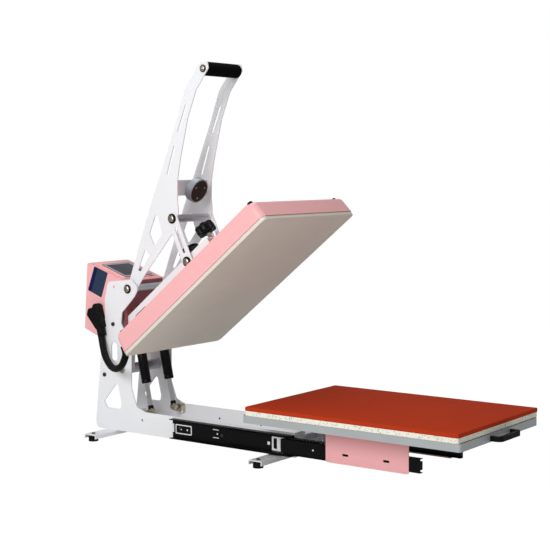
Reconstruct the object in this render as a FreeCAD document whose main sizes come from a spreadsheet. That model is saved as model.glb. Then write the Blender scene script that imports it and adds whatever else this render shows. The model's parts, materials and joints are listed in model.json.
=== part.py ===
import FreeCAD, Part
import math
import os
import re
import Sketcher

# Auto-open flat heat press with a drawer bed, in millimetres.
# Every outline is drawn in the press frame: X across, Y to the back, Z up, zero at the middle of the
# pad's back top edge. The placement of each piece then lifts it by PadTop and brings it forward by
# BackShift, so that the finished part stands on Z = 0 around its middle.
# The arm and the platen are drawn closed and level, then turned open by OpenTurn.

doc = FreeCAD.newDocument("HeatPress")
sheet = doc.addObject("Spreadsheet::Sheet", "Dims")

sizes = {
    # where the whole press stands
    "PadTop": 160,
    "BackShift": 20.75,
    # bed
    "PadLong": 600,
    "PadWide": 400,
    "PadThick": 10,
    "PadRound": 4,
    "BoardThick": 12,
    "BoardInset": 1,
    "TrayInset": 5,
    "TrayFrontLip": 2,
    "TrayBackLip": 11.6,
    "TrayDeep": 19,
    "TrayWall": 2,
    "TrayRound": 8,
    "ShadowGap": 1,
    "StiffenerWide": 24,
    "StiffenerApart": 70,
    "PullWide": 108,
    "PullReach": 28,
    "PullBar": 9,
    "PullHigh": 12,
    # sheet steel frame
    "SideInner": 81.5,
    "SteelThick": 3,
    "SideFoot": -140,
    "SideFront": -70,
    "SideArmTop": -78,
    "SideBack": 626,
    "FlangeWide": 42,
    "BarLong": 340,
    "BarWide": 42,
    "BarHigh": 12,
    "BarWall": 2.5,
    "FrontBarMiddle": -8,
    "RearBarMiddle": 567,
    "FootRadius": 13.5,
    "FootPlace": 156,
    "TieHigh": 34,
    # pivots, at rest
    "EarPinBack": 497,
    "EarPinHigh": 260,
    "TopPinBack": 337,
    "TopPinHigh": 456.5,
    "LowPinBack": 286.3,
    "LowPinHigh": 343,
    "ShaftBack": 521,
    "ShaftHigh": 33.6,
    "SpringTopBack": 494,
    "SpringTopHigh": 133,
    "SpringFootBack": 448.3,
    "SpringFootHigh": -81,
    "PlatenBack": 397.5,
    "PlatenHigh": 97.5,
    "OpenTurn": 38.5,
    "PinPlay": 0.05,
    "ShaftRadius": 8,
    "EarPinRadius": 6,
    "LinkPinRadius": 5,
    # arm
    "ArmHalf": 65,
    "ArmWall": 3,
    "ArmTop": 139,
    "ArmFoot": 66,
    "ArmFront": 325,
    "ArmNeck": -75,
    # platen
    "HeatLong": 590,
    "HeatWide": 392,
    "HeatThick": 10,
    "HeatRound": 14,
    "CoverTop": 60,
    "CoverWall": 2,
    "CoverOver": 5,
    "CoverRound": 26,
    "CoverEdge": 7,
    "SeamGap": 0.4,
    "InsulationTop": 38,
    "BridgeThick": 6,
    "ScrewAlong": 293,
    "ScrewRadius": 6,
    "KnobRadius": 28,
    "KnobHigh": 27,
    "KnobFoot": 178,
    "StrikeAlong": 209,
    "StrikeRadius": 30,
    "StrikeTop": 181.2,
    "StrikeThick": 8,
    "GuideRadius": 7,
    "GuideFirst": 60,
    "GuideSecond": 140,
    # handle
    "HandleInner": 69.5,
    "GripBack": 228,
    "GripHigh": 850,
    "GripRadius": 18.5,
    "CrossTubeRadius": 10.5,
    "MagnetBack": 306.2,
    "MagnetHigh": 528.3,
    "MagnetTilt": 23,
    "MagnetRadius": 31,
    "MagnetDeep": 17,
    # links
    "LinkGap": 0.7,
    "LinkThick": 4,
    "LinkHalf": 11.5,
    "OpenPinGap": 0.3,
    # gas springs
    "GasPlace": 49.5,
    "GasRadius": 11,
    "GasRodRadius": 5,
    "GasCylinderLong": 118,
    "GasFootEnd": 14,
    # ball bearing slides
    "SlideGap": 0.5,
    "SlideThick": 19,
    "SlideHigh": 53,
    "SlideLong": 406,
    "SlideMetal": 1.6,
    "SlideMiddleHigh": 44,
    "SlideInnerHigh": 35,
    "SlideAxis": -109.5,
    "SlideFront": -70,
    "DrawerOut": 389.5,
    "BracketThick": 2,
    "BracketFront": -416,
    "BracketBack": -179,
    "BracketFoot": -133,
    # control box
    "BoxWall": 1.5,
    "BoxTopFront": 515,
    "BoxTopFrontHigh": 281,
    "BoxTopBack": 653,
    "BoxTopBackHigh": 328,
    "BoxBack": 667.5,
    "BoxBackFoot": 139.5,
    "BoxFrontFoot": 566,
    "BoxFrontFootHigh": 103,
}

for row, (alias, value) in enumerate(sizes.items(), start=1):
    sheet.set("A%d" % row, alias)
    sheet.set("B%d" % row, str(value))
    sheet.setAlias("B%d" % row, alias)
doc.recompute()

SIDE = "YZ_Plane"
TOP = "XY_Plane"
FRONT = "XZ_Plane"
pieces = []


def named(text):
    """Point each size named in an expression at its cell of the sheet."""
    return re.sub(r"\b[A-Z][A-Za-z]+", lambda word: "Dims." + word.group(0), str(text))


def bind(thing, **values):
    for prop, text in values.items():
        thing.setExpression(prop.replace("_", "."), named(text))


def piece(thing, node):
    """Keep a finished object under its node name."""
    thing.Label = node
    pieces.append(thing)
    return thing


def settle(thing, x="0", y="0", z="0", turn=None):
    """Place a piece in the press frame, turned about X where a turn is given."""
    where = "create(<<vector>>; %s; (%s) - BackShift; (%s) + PadTop)" % (x, y, z)
    spin = "create(<<rotation>>; create(<<vector>>; 1; 0; 0); %s)" % (turn or "0")
    thing.setExpression("Placement", named("create(<<placement>>; %s; %s)" % (where, spin)))


def on_arm(thing):
    """Place a piece drawn in the closed platen's frame: Y = -u along the plate, Z = v off it."""
    settle(thing, y="PlatenBack", z="PlatenHigh", turn="-OpenTurn")


def sketch(body, view, loops, offset="0"):
    """A sketch of closed loops: lists of corners (across, up, radius), or a circle (across, up, r)."""
    outline = body.newObject("Sketcher::SketchObject", "Outline")
    plane = [face for face in body.Origin.OriginFeatures if face.Role == view][0]
    outline.AttachmentSupport = [(plane, "")]
    outline.MapMode = "FlatFace"
    outline.setExpression("AttachmentOffset.Base.z", named(offset))
    first = 0
    for loop in loops:
        if isinstance(loop, tuple):
            across, up, radius = loop
            outline.addGeometry(Part.Circle(FreeCAD.Vector(first, first, 0), FreeCAD.Vector(0, 0, 1), 2.0))
            rules = [("DistanceX", across), ("DistanceY", up)]
            for kind, text in rules:
                rule = outline.addConstraint(Sketcher.Constraint(kind, -1, 1, first, 3, 10.0 + first))
                outline.setExpression("Constraints[%d]" % rule, named(text))
            rule = outline.addConstraint(Sketcher.Constraint("Radius", first, 2.0))
            outline.setExpression("Constraints[%d]" % rule, named(radius))
            first += 1
            continue
        count = len(loop)
        for i in range(count):
            start = FreeCAD.Vector(first + i, (first + i) ** 2 + 1, 0)
            end = FreeCAD.Vector(first + i + 1, (first + i + 1) ** 2 + 1, 0)
            outline.addGeometry(Part.LineSegment(start, end))
        for i in range(count):
            following = first + (i + 1) % count
            outline.addConstraint(Sketcher.Constraint("Coincident", first + i, 2, following, 1))
        for i, corner in enumerate(loop):
            for kind, text in (("DistanceX", corner[0]), ("DistanceY", corner[1])):
                rule = outline.addConstraint(Sketcher.Constraint(kind, -1, 1, first + i, 1, 10.0 + i))
                outline.setExpression("Constraints[%d]" % rule, named(text))
        first += count
    return outline


def round_corners(body, feature, outline, loops):
    """Fillet the edges that rise from the corners which carry a radius."""
    doc.recompute()
    to_world = outline.Placement
    normal = to_world.Rotation.multVec(FreeCAD.Vector(0, 0, 1))
    corners = {}
    first = 0
    for loop in loops:
        if isinstance(loop, tuple):
            first += 1
            continue
        for i, corner in enumerate(loop):
            if len(corner) > 2:
                spot = to_world.multVec(outline.Geometry[first + i].StartPoint)
                corners.setdefault(corner[2], []).append(spot)
        first += len(loop)
    for radius, spots in corners.items():
        edges = []
        for index, edge in enumerate(feature.Shape.Edges, start=1):
            ends = [vertex.Point for vertex in edge.Vertexes]
            if len(ends) != 2 or (ends[1] - ends[0]).cross(normal).Length > 1e-4:
                continue
            for spot in spots:
                if (ends[0] - spot).cross(normal).Length < 1e-3:
                    edges.append("Edge%d" % index)
                    break
        fillet = body.newObject("PartDesign::Fillet", "Round")
        fillet.Base = (feature, edges)
        bind(fillet, Radius=radius)
        doc.recompute()
        feature = fillet
    return feature


def pad(body, view, loops, thick, offset="0", sharp=False):
    outline = sketch(body, view, loops, offset)
    feature = body.newObject("PartDesign::Pad", "Pad")
    feature.Profile = outline
    bind(feature, Length=thick)
    return outline if sharp else round_corners(body, feature, outline, loops)


def pocket(body, view, loops, deep, offset="0", reverse=False):
    outline = sketch(body, view, loops, offset)
    feature = body.newObject("PartDesign::Pocket", "Cut")
    feature.Profile = outline
    feature.Reversed = reverse
    bind(feature, Length=deep)
    return round_corners(body, feature, outline, loops)


def flat(view, loops, thick, offset="0"):
    """A flat piece cut to an outline."""
    body = doc.addObject("PartDesign::Body", "Flat")
    pad(body, view, loops, thick, offset)
    return body


def plate(node, view, loops, thick, offset="0"):
    """A flat piece under its own node name, still to be placed."""
    return piece(flat(view, loops, thick, offset), node)


def rectangle(x1, x2, y1, y2, radius=None):
    corners = [(x1, y1), (x2, y1), (x2, y2), (x1, y2)]
    return [corner + (radius,) for corner in corners] if radius else corners


def block(x1, x2, y1, y2, z1, z2):
    """A plain box between six expressions, a part of a larger piece."""
    box = doc.addObject("Part::Box", "Block")
    bind(box, Length="(%s) - (%s)" % (x2, x1), Width="(%s) - (%s)" % (y2, y1), Height="(%s) - (%s)" % (z2, z1))
    bind(box, Placement_Base_x=x1, Placement_Base_y=y1, Placement_Base_z=z1)
    return box


def rod(radius, start, end, x="0", y="0", z="0", along="x"):
    """A round bar along one axis between two places on it."""
    bar = doc.addObject("Part::Cylinder", "Rod")
    bind(bar, Radius=radius, Height="(%s) - (%s)" % (end, start))
    if along == "x":
        bar.Placement = FreeCAD.Placement(FreeCAD.Vector(), FreeCAD.Rotation(FreeCAD.Vector(0, 1, 0), 90))
        bind(bar, Placement_Base_x=start, Placement_Base_y=y, Placement_Base_z=z)
    elif along == "y":
        bar.Placement = FreeCAD.Placement(FreeCAD.Vector(), FreeCAD.Rotation(FreeCAD.Vector(1, 0, 0), -90))
        bind(bar, Placement_Base_x=x, Placement_Base_y=start, Placement_Base_z=z)
    else:
        bind(bar, Placement_Base_x=x, Placement_Base_y=y, Placement_Base_z=start)
    return bar


def joined(parts):
    if len(parts) == 1:
        return parts[0]
    whole = doc.addObject("Part::MultiFuse", "Joined")
    whole.Shapes = parts
    return whole


def together(parts):
    """Like pieces that share one node without touching."""
    group = doc.addObject("Part::Compound", "Set")
    group.Links = parts
    return group


def less(whole, tools):
    cut = doc.addObject("Part::Cut", "Less")
    cut.Base = whole
    cut.Tool = joined(tools)
    return cut


def mirrored(thing):
    """The same piece on the other side of the middle."""
    other = doc.addObject("Part::Mirroring", "Mirrored")
    other.Source = thing
    other.Normal = FreeCAD.Vector(1, 0, 0)
    return other


def both(left, node):
    """A left-hand piece and its right-hand twin under one node name."""
    return piece(together([left, mirrored(left)]), node)


def bolt(x_face, y, z, shank, reach, head, high, out=-1):
    """A bolt along X whose head lies on a face and whose shank goes towards the middle."""
    if out < 0:
        parts = [rod(head, "(%s) - (%s)" % (x_face, high), x_face, y=y, z=z)]
        parts.append(rod(shank, x_face, "(%s) + (%s)" % (x_face, reach), y=y, z=z))
    else:
        parts = [rod(head, x_face, "(%s) + (%s)" % (x_face, high), y=y, z=z)]
        parts.append(rod(shank, "(%s) - (%s)" % (x_face, reach), x_face, y=y, z=z))
    return joined(parts)


# Bed: the pad, its board and the tray ride on the drawer slides.

def make_bed():
    half = "PadWide / 2"
    pad_loop = [rectangle("-" + half, half, "-PadLong", "0", "PadRound")]
    settle(plate("silicone_pad", TOP, pad_loop, "PadThick", "-PadThick"))
    side = "PadWide / 2 - BoardInset"
    board_loop = [rectangle("-(%s)" % side, side, "BoardInset - PadLong", "-BoardInset", "PadRound")]
    settle(plate("base_board", TOP, board_loop, "BoardThick", "-PadThick - BoardThick"))

    wide = "PadWide / 2 - TrayInset"
    front = "-PadLong - TrayFrontLip"
    floor = "-PadThick - BoardThick - ShadowGap - TrayDeep"
    body = doc.addObject("PartDesign::Body", "tray")
    rim = [rectangle("-(%s)" % wide, wide, front, "TrayBackLip", "TrayRound")]
    rim_outline = pad(body, TOP, rim, "TrayDeep", floor, sharp=True)
    inner = "PadWide / 2 - TrayInset - TrayWall"
    hollow = rectangle("-(%s)" % inner, inner, front + " + TrayWall", "TrayBackLip - TrayWall",
                       "TrayRound - TrayWall")
    hollowed = pocket(body, TOP, [hollow], "TrayDeep - TrayWall", floor + " + TrayDeep")
    round_corners(body, hollowed, rim_outline, rim)
    settle(piece(body, "tray"))

    low = floor + " + TrayWall"
    high = "-PadThick - BoardThick"
    bars = []
    for side in ("-StiffenerApart - StiffenerWide", "StiffenerApart"):
        bars.append(block(side, side + " + StiffenerWide", "30 - PadLong", "-30", low, high))
    settle(piece(together(bars), "tray_stiffeners"))

    reach = "-PadLong - TrayFrontLip"
    tip = reach + " - PullReach"
    outer = "PullWide / 2"
    bend = "PullWide / 2 - PullBar"
    loop = [("-" + outer, reach), ("-" + outer, tip, "PullBar * 1.6"), (outer, tip, "PullBar * 1.6"), (outer, reach),
            (bend, reach), (bend, tip + " + PullBar", "PullBar * 0.7"),
            ("-(%s)" % bend, tip + " + PullBar", "PullBar * 0.7"), ("-(%s)" % bend, reach)]
    settle(plate("tray_pull", TOP, [loop], "PullHigh", floor + " + 2"))


# Ball bearing slides: outer channel on the side plate, middle member, inner member on the drawer.

def channel(web, lip, high, back, front, opens_out):
    """A rolled channel drawn looking along Y and extruded along the slide, on the left side."""
    wall = "SlideMetal"
    half = "%s / 2" % high
    inner = "(%s / 2 - %s)" % (high, wall)
    floor = web + (" - " if opens_out else " + ") + wall
    loop = [(web, "SlideAxis - " + half), (lip, "SlideAxis - " + half), (lip, "SlideAxis - " + inner),
            (floor, "SlideAxis - " + inner), (floor, "SlideAxis + " + inner), (lip, "SlideAxis + " + inner),
            (lip, "SlideAxis + " + half), (web, "SlideAxis + " + half)]
    return flat(FRONT, [loop], "(%s) - (%s)" % (back, front), "-(%s)" % back)


SLIDE_SCREWS = (("309.7", "-107"), ("164", "-110"), ("-7", "-111"))


def make_slides():
    face = "-SideInner - SteelThick - SlideGap"
    back = "SlideFront + SlideLong"
    outer = channel(face, face + " - SlideThick + 2", "SlideHigh", back, "SlideFront", True)
    pocket(outer, SIDE, [(y, z, "3") for y, z in SLIDE_SCREWS], "SlideMetal + 2", face + " + 1")
    settle(outer)
    both(outer, "slide_outers")
    middle_web = face + " - 3.5"
    middle = channel(middle_web, middle_web + " - 12.5", "SlideMiddleHigh",
                     back + " - DrawerOut / 2", "SlideFront - DrawerOut / 2", True)
    settle(middle)
    both(middle, "slide_middles")
    skin = face + " - SlideThick"
    inner = channel(skin, skin + " + 12", "SlideInnerHigh",
                    back + " - DrawerOut + 13.5", "SlideFront - DrawerOut + 13.5", False)
    settle(inner)
    both(inner, "slide_inners")

    # ball cages fill the gaps above and below the middle member and travel with it
    cages = []
    outer_gap = "SlideHigh / 2 - SlideMetal"
    middle_outer = "SlideMiddleHigh / 2"
    middle_inner = "SlideMiddleHigh / 2 - SlideMetal"
    inner_skin = "SlideInnerHigh / 2"
    near = middle_web + " - 10.5"
    far = middle_web + " - 4.5"
    for low, high in ((middle_outer, outer_gap), (inner_skin, middle_inner)):
        for sign in ("", "-"):
            z1 = "SlideAxis + (%s + PinPlay)" % low if not sign else "SlideAxis - (%s - PinPlay)" % high
            z2 = "SlideAxis + (%s - PinPlay)" % high if not sign else "SlideAxis - (%s + PinPlay)" % low
            start = "SlideFront + 20" if low == middle_outer else "SlideFront - DrawerOut / 2 + 8"
            cage = block(near, far, start, start + " + 84", z1, z2)
            cages.append(cage)
            cages.append(mirrored(cage))
    settle(piece(together(cages), "ball_cages"))

    tip = "SlideFront - DrawerOut + 13.5"
    bumper = block(skin + " + SlideMetal", skin + " + 12", tip, tip + " + 9", "SlideAxis - 10", "SlideAxis + 10")
    settle(piece(together([bumper, mirrored(bumper)]), "slide_bumpers"))

    # tray brackets: upright plates screwed to the inner members, with a flange under the tray
    low = "BracketFoot"
    top = "-PadThick - BoardThick - ShadowGap - TrayDeep"
    body = doc.addObject("PartDesign::Body", "Bracket")
    outline = [("BracketFront", low, "6"), ("BracketBack", low, "6"), ("BracketBack", top), ("BracketFront", top)]
    slots = []
    for place in ("BracketFront + 62", "BracketBack - 58"):
        slots.append(rectangle(place + " - 9", place + " + 9", "SlideAxis - 3", "SlideAxis + 3", "2.9"))
    pad(body, SIDE, [outline] + slots, "BracketThick", skin + " - BracketThick")
    pad(body, TOP, [rectangle(skin + " - 34", skin, "BracketFront", "BracketBack")], "BracketThick",
        top + " - BracketThick")
    settle(body)
    both(body, "tray_brackets")


# Sheet steel frame: two side plates on two foot bars.

def make_frame():
    ear_round = [("570.2", "277", "12"), ("484", "286", "16"), ("457", "264", "14")]
    neck = [("473.4", "238.7", "12"), ("519.4", "193.9", "10"), ("524", "163", "6"), ("515.5", "148.6", "6"),
            ("486.4", "77.4", "12"), ("488.3", "-15", "14"), ("469.1", "-66.5", "10"), ("436", "SideArmTop", "10")]
    front = [("SideFront", "SideArmTop", "8"), ("SideFront", "SideFoot")]
    back = [("SideBack - 2", "SideFoot", "14"), ("SideBack", "-118", "12"), ("604.8", "59.5"),
            ("583.7", "177.7"), ("584.9", "226.6")]
    outline = front + back + ear_round + neck[:]
    window = [("541", "-3", "6"), ("594", "-62", "7"), ("580", "-79", "7"), ("530", "-79", "8"), ("527", "-62", "6")]
    slot = rectangle("540", "562", "56", "106", "9")
    holes = [("EarPinBack", "EarPinHigh", "EarPinRadius + PinPlay"), ("ShaftBack", "ShaftHigh", "LinkPinRadius + PinPlay"),
             ("549", "263.5", "4"), ("553", "159", "3"), ("589", "14", "3"), ("449.3", "-101.3", "3.5")]
    holes += [(y, z, "3") for y, z in SLIDE_SCREWS]
    body = doc.addObject("PartDesign::Body", "side_plate_left")
    pad(body, SIDE, [outline, window, slot] + holes, "SteelThick", "-SideInner - SteelThick")
    fold, tip = "-SideInner - SteelThick", "-SideInner + FlangeWide"
    flange = [(fold, "SideFoot"), (tip, "SideFoot", "4"), (tip, "SideArmTop", "4"), (fold, "SideArmTop")]
    pad(body, FRONT, [flange], "SteelThick", "-SideFront - SteelThick")
    settle(piece(body, "side_plate_left"))
    piece(mirrored(body), "side_plate_right")

    for node, middle in (("foot_bar_front", "FrontBarMiddle"), ("foot_bar_rear", "RearBarMiddle")):
        front, back = middle + " - BarWide / 2", middle + " + BarWide / 2"
        top = "SideFoot"
        loop = [(front, top + " - BarHigh"), (front, top, "3.5"), (back, top, "3.5"), (back, top + " - BarHigh"),
                (back + " - BarWall", top + " - BarHigh"), (back + " - BarWall", top + " - BarWall", "1"),
                (front + " + BarWall", top + " - BarWall", "1"), (front + " + BarWall", top + " - BarHigh")]
        bar = plate(node, SIDE, [loop], "BarLong", "-BarLong / 2")
        pocket(bar, TOP, [("-FootPlace", middle, "2.5"), ("FootPlace", middle, "2.5")], "BarWall + 1", top + " + 1")
        settle(bar)

    feet, screws = [], []
    for middle in ("FrontBarMiddle", "RearBarMiddle"):
        for side in ("-FootPlace", "FootPlace"):
            foot = joined([rod("FootRadius", "-PadTop", "SideFoot - BarWall - 6", x=side, y=middle, along="z"),
                           rod("FootRadius - 2", "SideFoot - BarWall - 6", "SideFoot - BarWall", x=side, y=middle,
                               along="z")])
            feet.append(less(foot, [rod("2.5", "SideFoot - BarWall - 10", "SideFoot", x=side, y=middle, along="z")]))
            screws.append(joined([rod("5", "SideFoot", "SideFoot + 2.6", x=side, y=middle, along="z"),
                                  rod("2.5", "SideFoot - BarWall - 10", "SideFoot", x=side, y=middle, along="z")]))
    settle(piece(together(feet), "rubber_feet"))
    return screws


# Tie channels hold the side plates apart and carry them on the foot bars.

def make_ties():
    ties = []
    for front, back in (("SideFront + SteelThick", "SideFront + 52"), ("RearBarMiddle - 24", "RearBarMiddle + 24")):
        top = "SideFoot + TieHigh"
        loop = [(front, "SideFoot"), (back, "SideFoot"), (back, top), (back + " - SteelThick", top),
                (back + " - SteelThick", "SideFoot + SteelThick"), (front + " + SteelThick", "SideFoot + SteelThick"),
                (front + " + SteelThick", top), (front, top)]
        ties.append(flat(SIDE, [loop], "SideInner * 2", "-SideInner"))
        settle(ties[-1])
    piece(together(ties), "frame_ties")




# Arm: a folded channel that carries the platen, drawn closed and level.

def in_arm(back, high):
    """A place of the press at rest, seen in the closed platen's frame."""
    dy, dz = "(%s - PlatenBack)" % back, "(%s - PlatenHigh)" % high
    across = "(%s * cos(OpenTurn) - %s * sin(OpenTurn))" % (dy, dz)
    up = "(%s * sin(OpenTurn) + %s * cos(OpenTurn))" % (dy, dz)
    return across, up


SHAFT = in_arm("ShaftBack", "ShaftHigh")
LOW_PIN = in_arm("LowPinBack", "LowPinHigh")
SPRING_TOP = in_arm("SpringTopBack", "SpringTopHigh")
LINK_IN = "(HandleInner + SteelThick + LinkGap)"
LINK_OUT = "(HandleInner + SteelThick + LinkGap + LinkThick)"


def make_arm():
    across, up = SHAFT
    body = doc.addObject("PartDesign::Body", "arm_channel")
    rear = [("-ArmNeck", "ArmTop", "22"), (across + " + 22", up + " + 18", "14"), (across + " + 20", up + " - 17", "12"),
            (across + " - 18", up + " - 19", "12"), ("-ArmNeck - 8", "ArmFoot", "10")]
    outline = [("-ArmFront", "ArmFoot"), ("-ArmFront", "ArmTop", "3")] + rear
    pad(body, SIDE, [outline], "ArmHalf * 2", "-ArmHalf")
    inside = [("-ArmFront - 5", up + " - 40"), ("-ArmFront - 5", "ArmTop - ArmWall"),
              ("-ArmNeck - 24", "ArmTop - ArmWall"), ("-ArmNeck - 24", "ArmTop + 20"),
              (across + " + 60", "ArmTop + 20"), (across + " + 60", up + " - 40")]
    pocket(body, SIDE, [inside], "(ArmHalf - ArmWall) * 2", "ArmHalf - ArmWall")
    slot = rectangle("-31", "18", "117.5", "124.5", "3.3")
    holes = [(across, up, "ShaftRadius + PinPlay"), LOW_PIN + ("LinkPinRadius",), SPRING_TOP + ("4",)]
    pocket(body, SIDE, [slot] + holes, "ArmHalf * 2 + 2", "ArmHalf + 1")
    tops = [("0", "-ScrewAlong", "ScrewRadius + 5"), ("0", "-GuideFirst", "GuideRadius + 1"),
            ("0", "-GuideSecond", "GuideRadius + 1"), ("0", "-StrikeAlong", "5")]
    pocket(body, TOP, tops, "ArmWall + 2", "ArmTop + 1")
    on_arm(piece(body, "arm_channel"))

    blocks = []
    for place in ("GuideFirst", "GuideSecond"):
        solid = block("-ArmHalf + ArmWall", "ArmHalf - ArmWall", "-%s - 14" % place, "-%s + 14" % place, "74", "98")
        bore = rod("GuideRadius + PinPlay", "70", "102", y="-" + place, along="z")
        blocks.append(less(solid, [bore]))
    nut = joined([rod("ScrewRadius + 5", "ArmTop - ArmWall - 26", "ArmTop + 4", y="-ScrewAlong", along="z"),
                  rod("ScrewRadius + 9", "ArmTop - ArmWall - 6", "ArmTop - ArmWall", y="-ScrewAlong", along="z")])
    bore = rod("ScrewRadius + PinPlay", "ArmTop - 40", "ArmTop + 8", y="-ScrewAlong", along="z")
    on_arm(piece(together(blocks + [less(nut, [bore])]), "guide_blocks"))

    post = joined([rod("9", "ArmTop", "StrikeTop - StrikeThick", y="-StrikeAlong", along="z"),
                   rod("14", "ArmTop", "ArmTop + 4", y="-StrikeAlong", along="z"),
                   rod("5", "ArmTop - ArmWall - 8", "ArmTop", y="-StrikeAlong", along="z")])
    on_arm(piece(post, "strike_post"))
    disc = rod("StrikeRadius", "StrikeTop - StrikeThick", "StrikeTop", y="-StrikeAlong", along="z")
    rim = doc.addObject("Part::Chamfer", "Rim")
    rim.Base = disc
    doc.recompute()
    rim.Edges = [(index, 1.2, 1.2) for index, edge in enumerate(disc.Shape.Edges, start=1) if edge.isClosed()
                 and abs(edge.BoundBox.ZLength) < 0.01]
    on_arm(piece(rim, "strike_disc"))

    pins = []
    low_across, low_up = LOW_PIN
    for side in (-1, 1):
        sign = "-" if side < 0 else ""
        spans = (("LinkPinRadius", "ArmHalf - ArmWall - 7", LINK_OUT + " + 5.5"), ("8", "ArmHalf", LINK_IN + " - 0.1"),
                 ("10", LINK_OUT + " + 0.1", LINK_OUT + " + 1.5"), ("7.5", LINK_OUT + " + 1.5", LINK_OUT + " + 6.5"),
                 ("8", "ArmHalf - ArmWall - 6", "ArmHalf - ArmWall"))
        parts = []
        for radius, low, high in spans:
            start, end = (low, high) if side > 0 else ("-(%s)" % high, "-(%s)" % low)
            parts.append(rod(radius, start, end, y=low_across, z=low_up))
        pins.append(joined(parts))
    on_arm(piece(together(pins), "link_pins_low"))
    spring_across, spring_up = SPRING_TOP
    on_arm(piece(joined([rod("4", "-ArmHalf - 4", "ArmHalf + 4", y=spring_across, z=spring_up),
                         rod("6.5", "-ArmHalf - 4", "-ArmHalf", y=spring_across, z=spring_up),
                         rod("6.5", "ArmHalf", "ArmHalf + 4", y=spring_across, z=spring_up)]), "spring_pin_top"))


# Platen: heat plate, insulation, bridge and cover.

def make_platen():
    half = "HeatWide / 2"
    body = doc.addObject("PartDesign::Body", "heat_plate")
    pad(body, TOP, [rectangle("-" + half, half, "-HeatLong", "0", "HeatRound")], "HeatThick")
    on_arm(piece(body, "heat_plate"))

    spots = [(x, y) for x in ("-48", "48") for y in ("-GuideFirst + 10", "-ScrewAlong - 22")]
    mat = doc.addObject("PartDesign::Body", "insulation")
    holes = [(x, y, "7") for x, y in spots]
    pad(mat, TOP, [rectangle("10 - " + half, half + " - 10", "12 - HeatLong", "-12")] + holes,
        "InsulationTop - HeatThick", "HeatThick")
    on_arm(piece(mat, "insulation"))
    spacers = [rod("6.5", "HeatThick", "InsulationTop", x=x, y=y, along="z") for x, y in spots]

    bridge = doc.addObject("PartDesign::Body", "platen_bridge")
    loop = rectangle("-64", "64", "-ScrewAlong - 44", "-GuideFirst + 32", "8")
    pad(bridge, TOP, [loop], "BridgeThick", "InsulationTop")
    on_arm(piece(bridge, "platen_bridge"))
    top = "(InsulationTop + BridgeThick)"
    rods = []
    for place in ("GuideFirst", "GuideSecond"):
        rods.append(joined([rod("GuideRadius", top, "ArmTop - 8", y="-" + place, along="z"),
                            rod("GuideRadius + 5", top, top + " + 6", y="-" + place, along="z")]))
    on_arm(piece(together(rods), "guide_rods"))
    socket = less(rod("14", top, top + " + 11", y="-ScrewAlong", along="z"),
                  [rod("ScrewRadius + PinPlay", top, top + " + 12", y="-ScrewAlong", along="z")])
    on_arm(piece(socket, "screw_socket"))
    posts = []
    for x, y in spots:
        posts.append(rod("6", top, "CoverTop - CoverWall", x=x, y=y, along="z"))
    on_arm(piece(together(spacers + posts), "plate_spacers"))

    cover = doc.addObject("PartDesign::Body", "platen_cover")
    side = "PadWide / 2"
    ends = ("-HeatLong - CoverOver", "CoverOver")
    shell = pad(cover, TOP, [rectangle("-" + side, side, ends[0], ends[1], "CoverRound")],
                "CoverTop - HeatThick - SeamGap", "HeatThick + SeamGap")
    top_edges = ["Edge%d" % index for index, edge in enumerate(shell.Shape.Edges, start=1)
                 if edge.BoundBox.ZMin > shell.Shape.BoundBox.ZMax - 1e-4]
    rounded = cover.newObject("PartDesign::Fillet", "UpperEdge")
    rounded.Base = (shell, top_edges)
    bind(rounded, Radius="CoverEdge")
    doc.recompute()
    open_face = ["Face%d" % index for index, face in enumerate(rounded.Shape.Faces, start=1)
                 if face.BoundBox.ZMax < rounded.Shape.BoundBox.ZMin + 1e-4]
    hollow = cover.newObject("PartDesign::Thickness", "Shell")
    hollow.Base = (rounded, open_face)
    bind(hollow, Value="CoverWall")
    hollow.Reversed = True
    doc.recompute()
    holes = [("0", "-ScrewAlong", "ScrewRadius + 3"), ("0", "-GuideFirst", "GuideRadius + 2"),
             ("0", "-GuideSecond", "GuideRadius + 2")]
    pocket(cover, TOP, [holes[0], holes[1], holes[2]], "CoverWall + 4", "CoverTop + 1")
    on_arm(piece(cover, "platen_cover"))
    caps = []
    for x in ("14 - PadWide / 2", "PadWide / 2 - 14"):
        for y in ("CoverOver - 22", "22 - HeatLong - CoverOver"):
            caps.append(rod("4.5", "CoverTop", "CoverTop + 2.5", x=x, y=y, along="z"))
    on_arm(piece(together(caps), "cover_caps"))


# Pressure knob and its screw turn in the arm's nut and push on the bridge.

def make_knob():
    knob = doc.addObject("PartDesign::Body", "pressure_knob")
    pad(knob, TOP, [("0", "0", "KnobRadius")], "KnobHigh - 7", "KnobFoot + 7")
    pad(knob, TOP, [("0", "0", "KnobRadius / 2")], "7", "KnobFoot")
    scallop = sketch(knob, TOP, [("KnobRadius * 1.12", "0", "KnobRadius * 0.36")], "KnobFoot + KnobHigh + 1")
    bite = knob.newObject("PartDesign::Pocket", "Scallop")
    bite.Profile = scallop
    bind(bite, Length="KnobHigh - 6")
    doc.recompute()
    ring = knob.newObject("PartDesign::PolarPattern", "Scallops")
    ring.Originals = [bite]
    ring.Axis = (scallop, ["N_Axis"])
    ring.Occurrences = 6
    knob.Tip = ring
    doc.recompute()
    pocket(knob, TOP, [("0", "0", "ScrewRadius")], "KnobHigh - 5", "KnobFoot", reverse=True)
    settle_on_screw(piece(knob, "pressure_knob"))
    top = "(InsulationTop + BridgeThick)"
    screw = rod("ScrewRadius", top + " + PinPlay", "KnobFoot + KnobHigh - 5", y="-ScrewAlong", along="z")
    on_arm(piece(together([screw]), "pressure_screw"))


def settle_on_screw(thing):
    """Place a piece drawn around the pressure screw's own axis."""
    settle(thing, y="PlatenBack - ScrewAlong * cos(OpenTurn)", z="PlatenHigh + ScrewAlong * sin(OpenTurn)",
           turn="-OpenTurn")




# Handle: two plates with a foam grip, a cross tube and the holding magnet between them.

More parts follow.
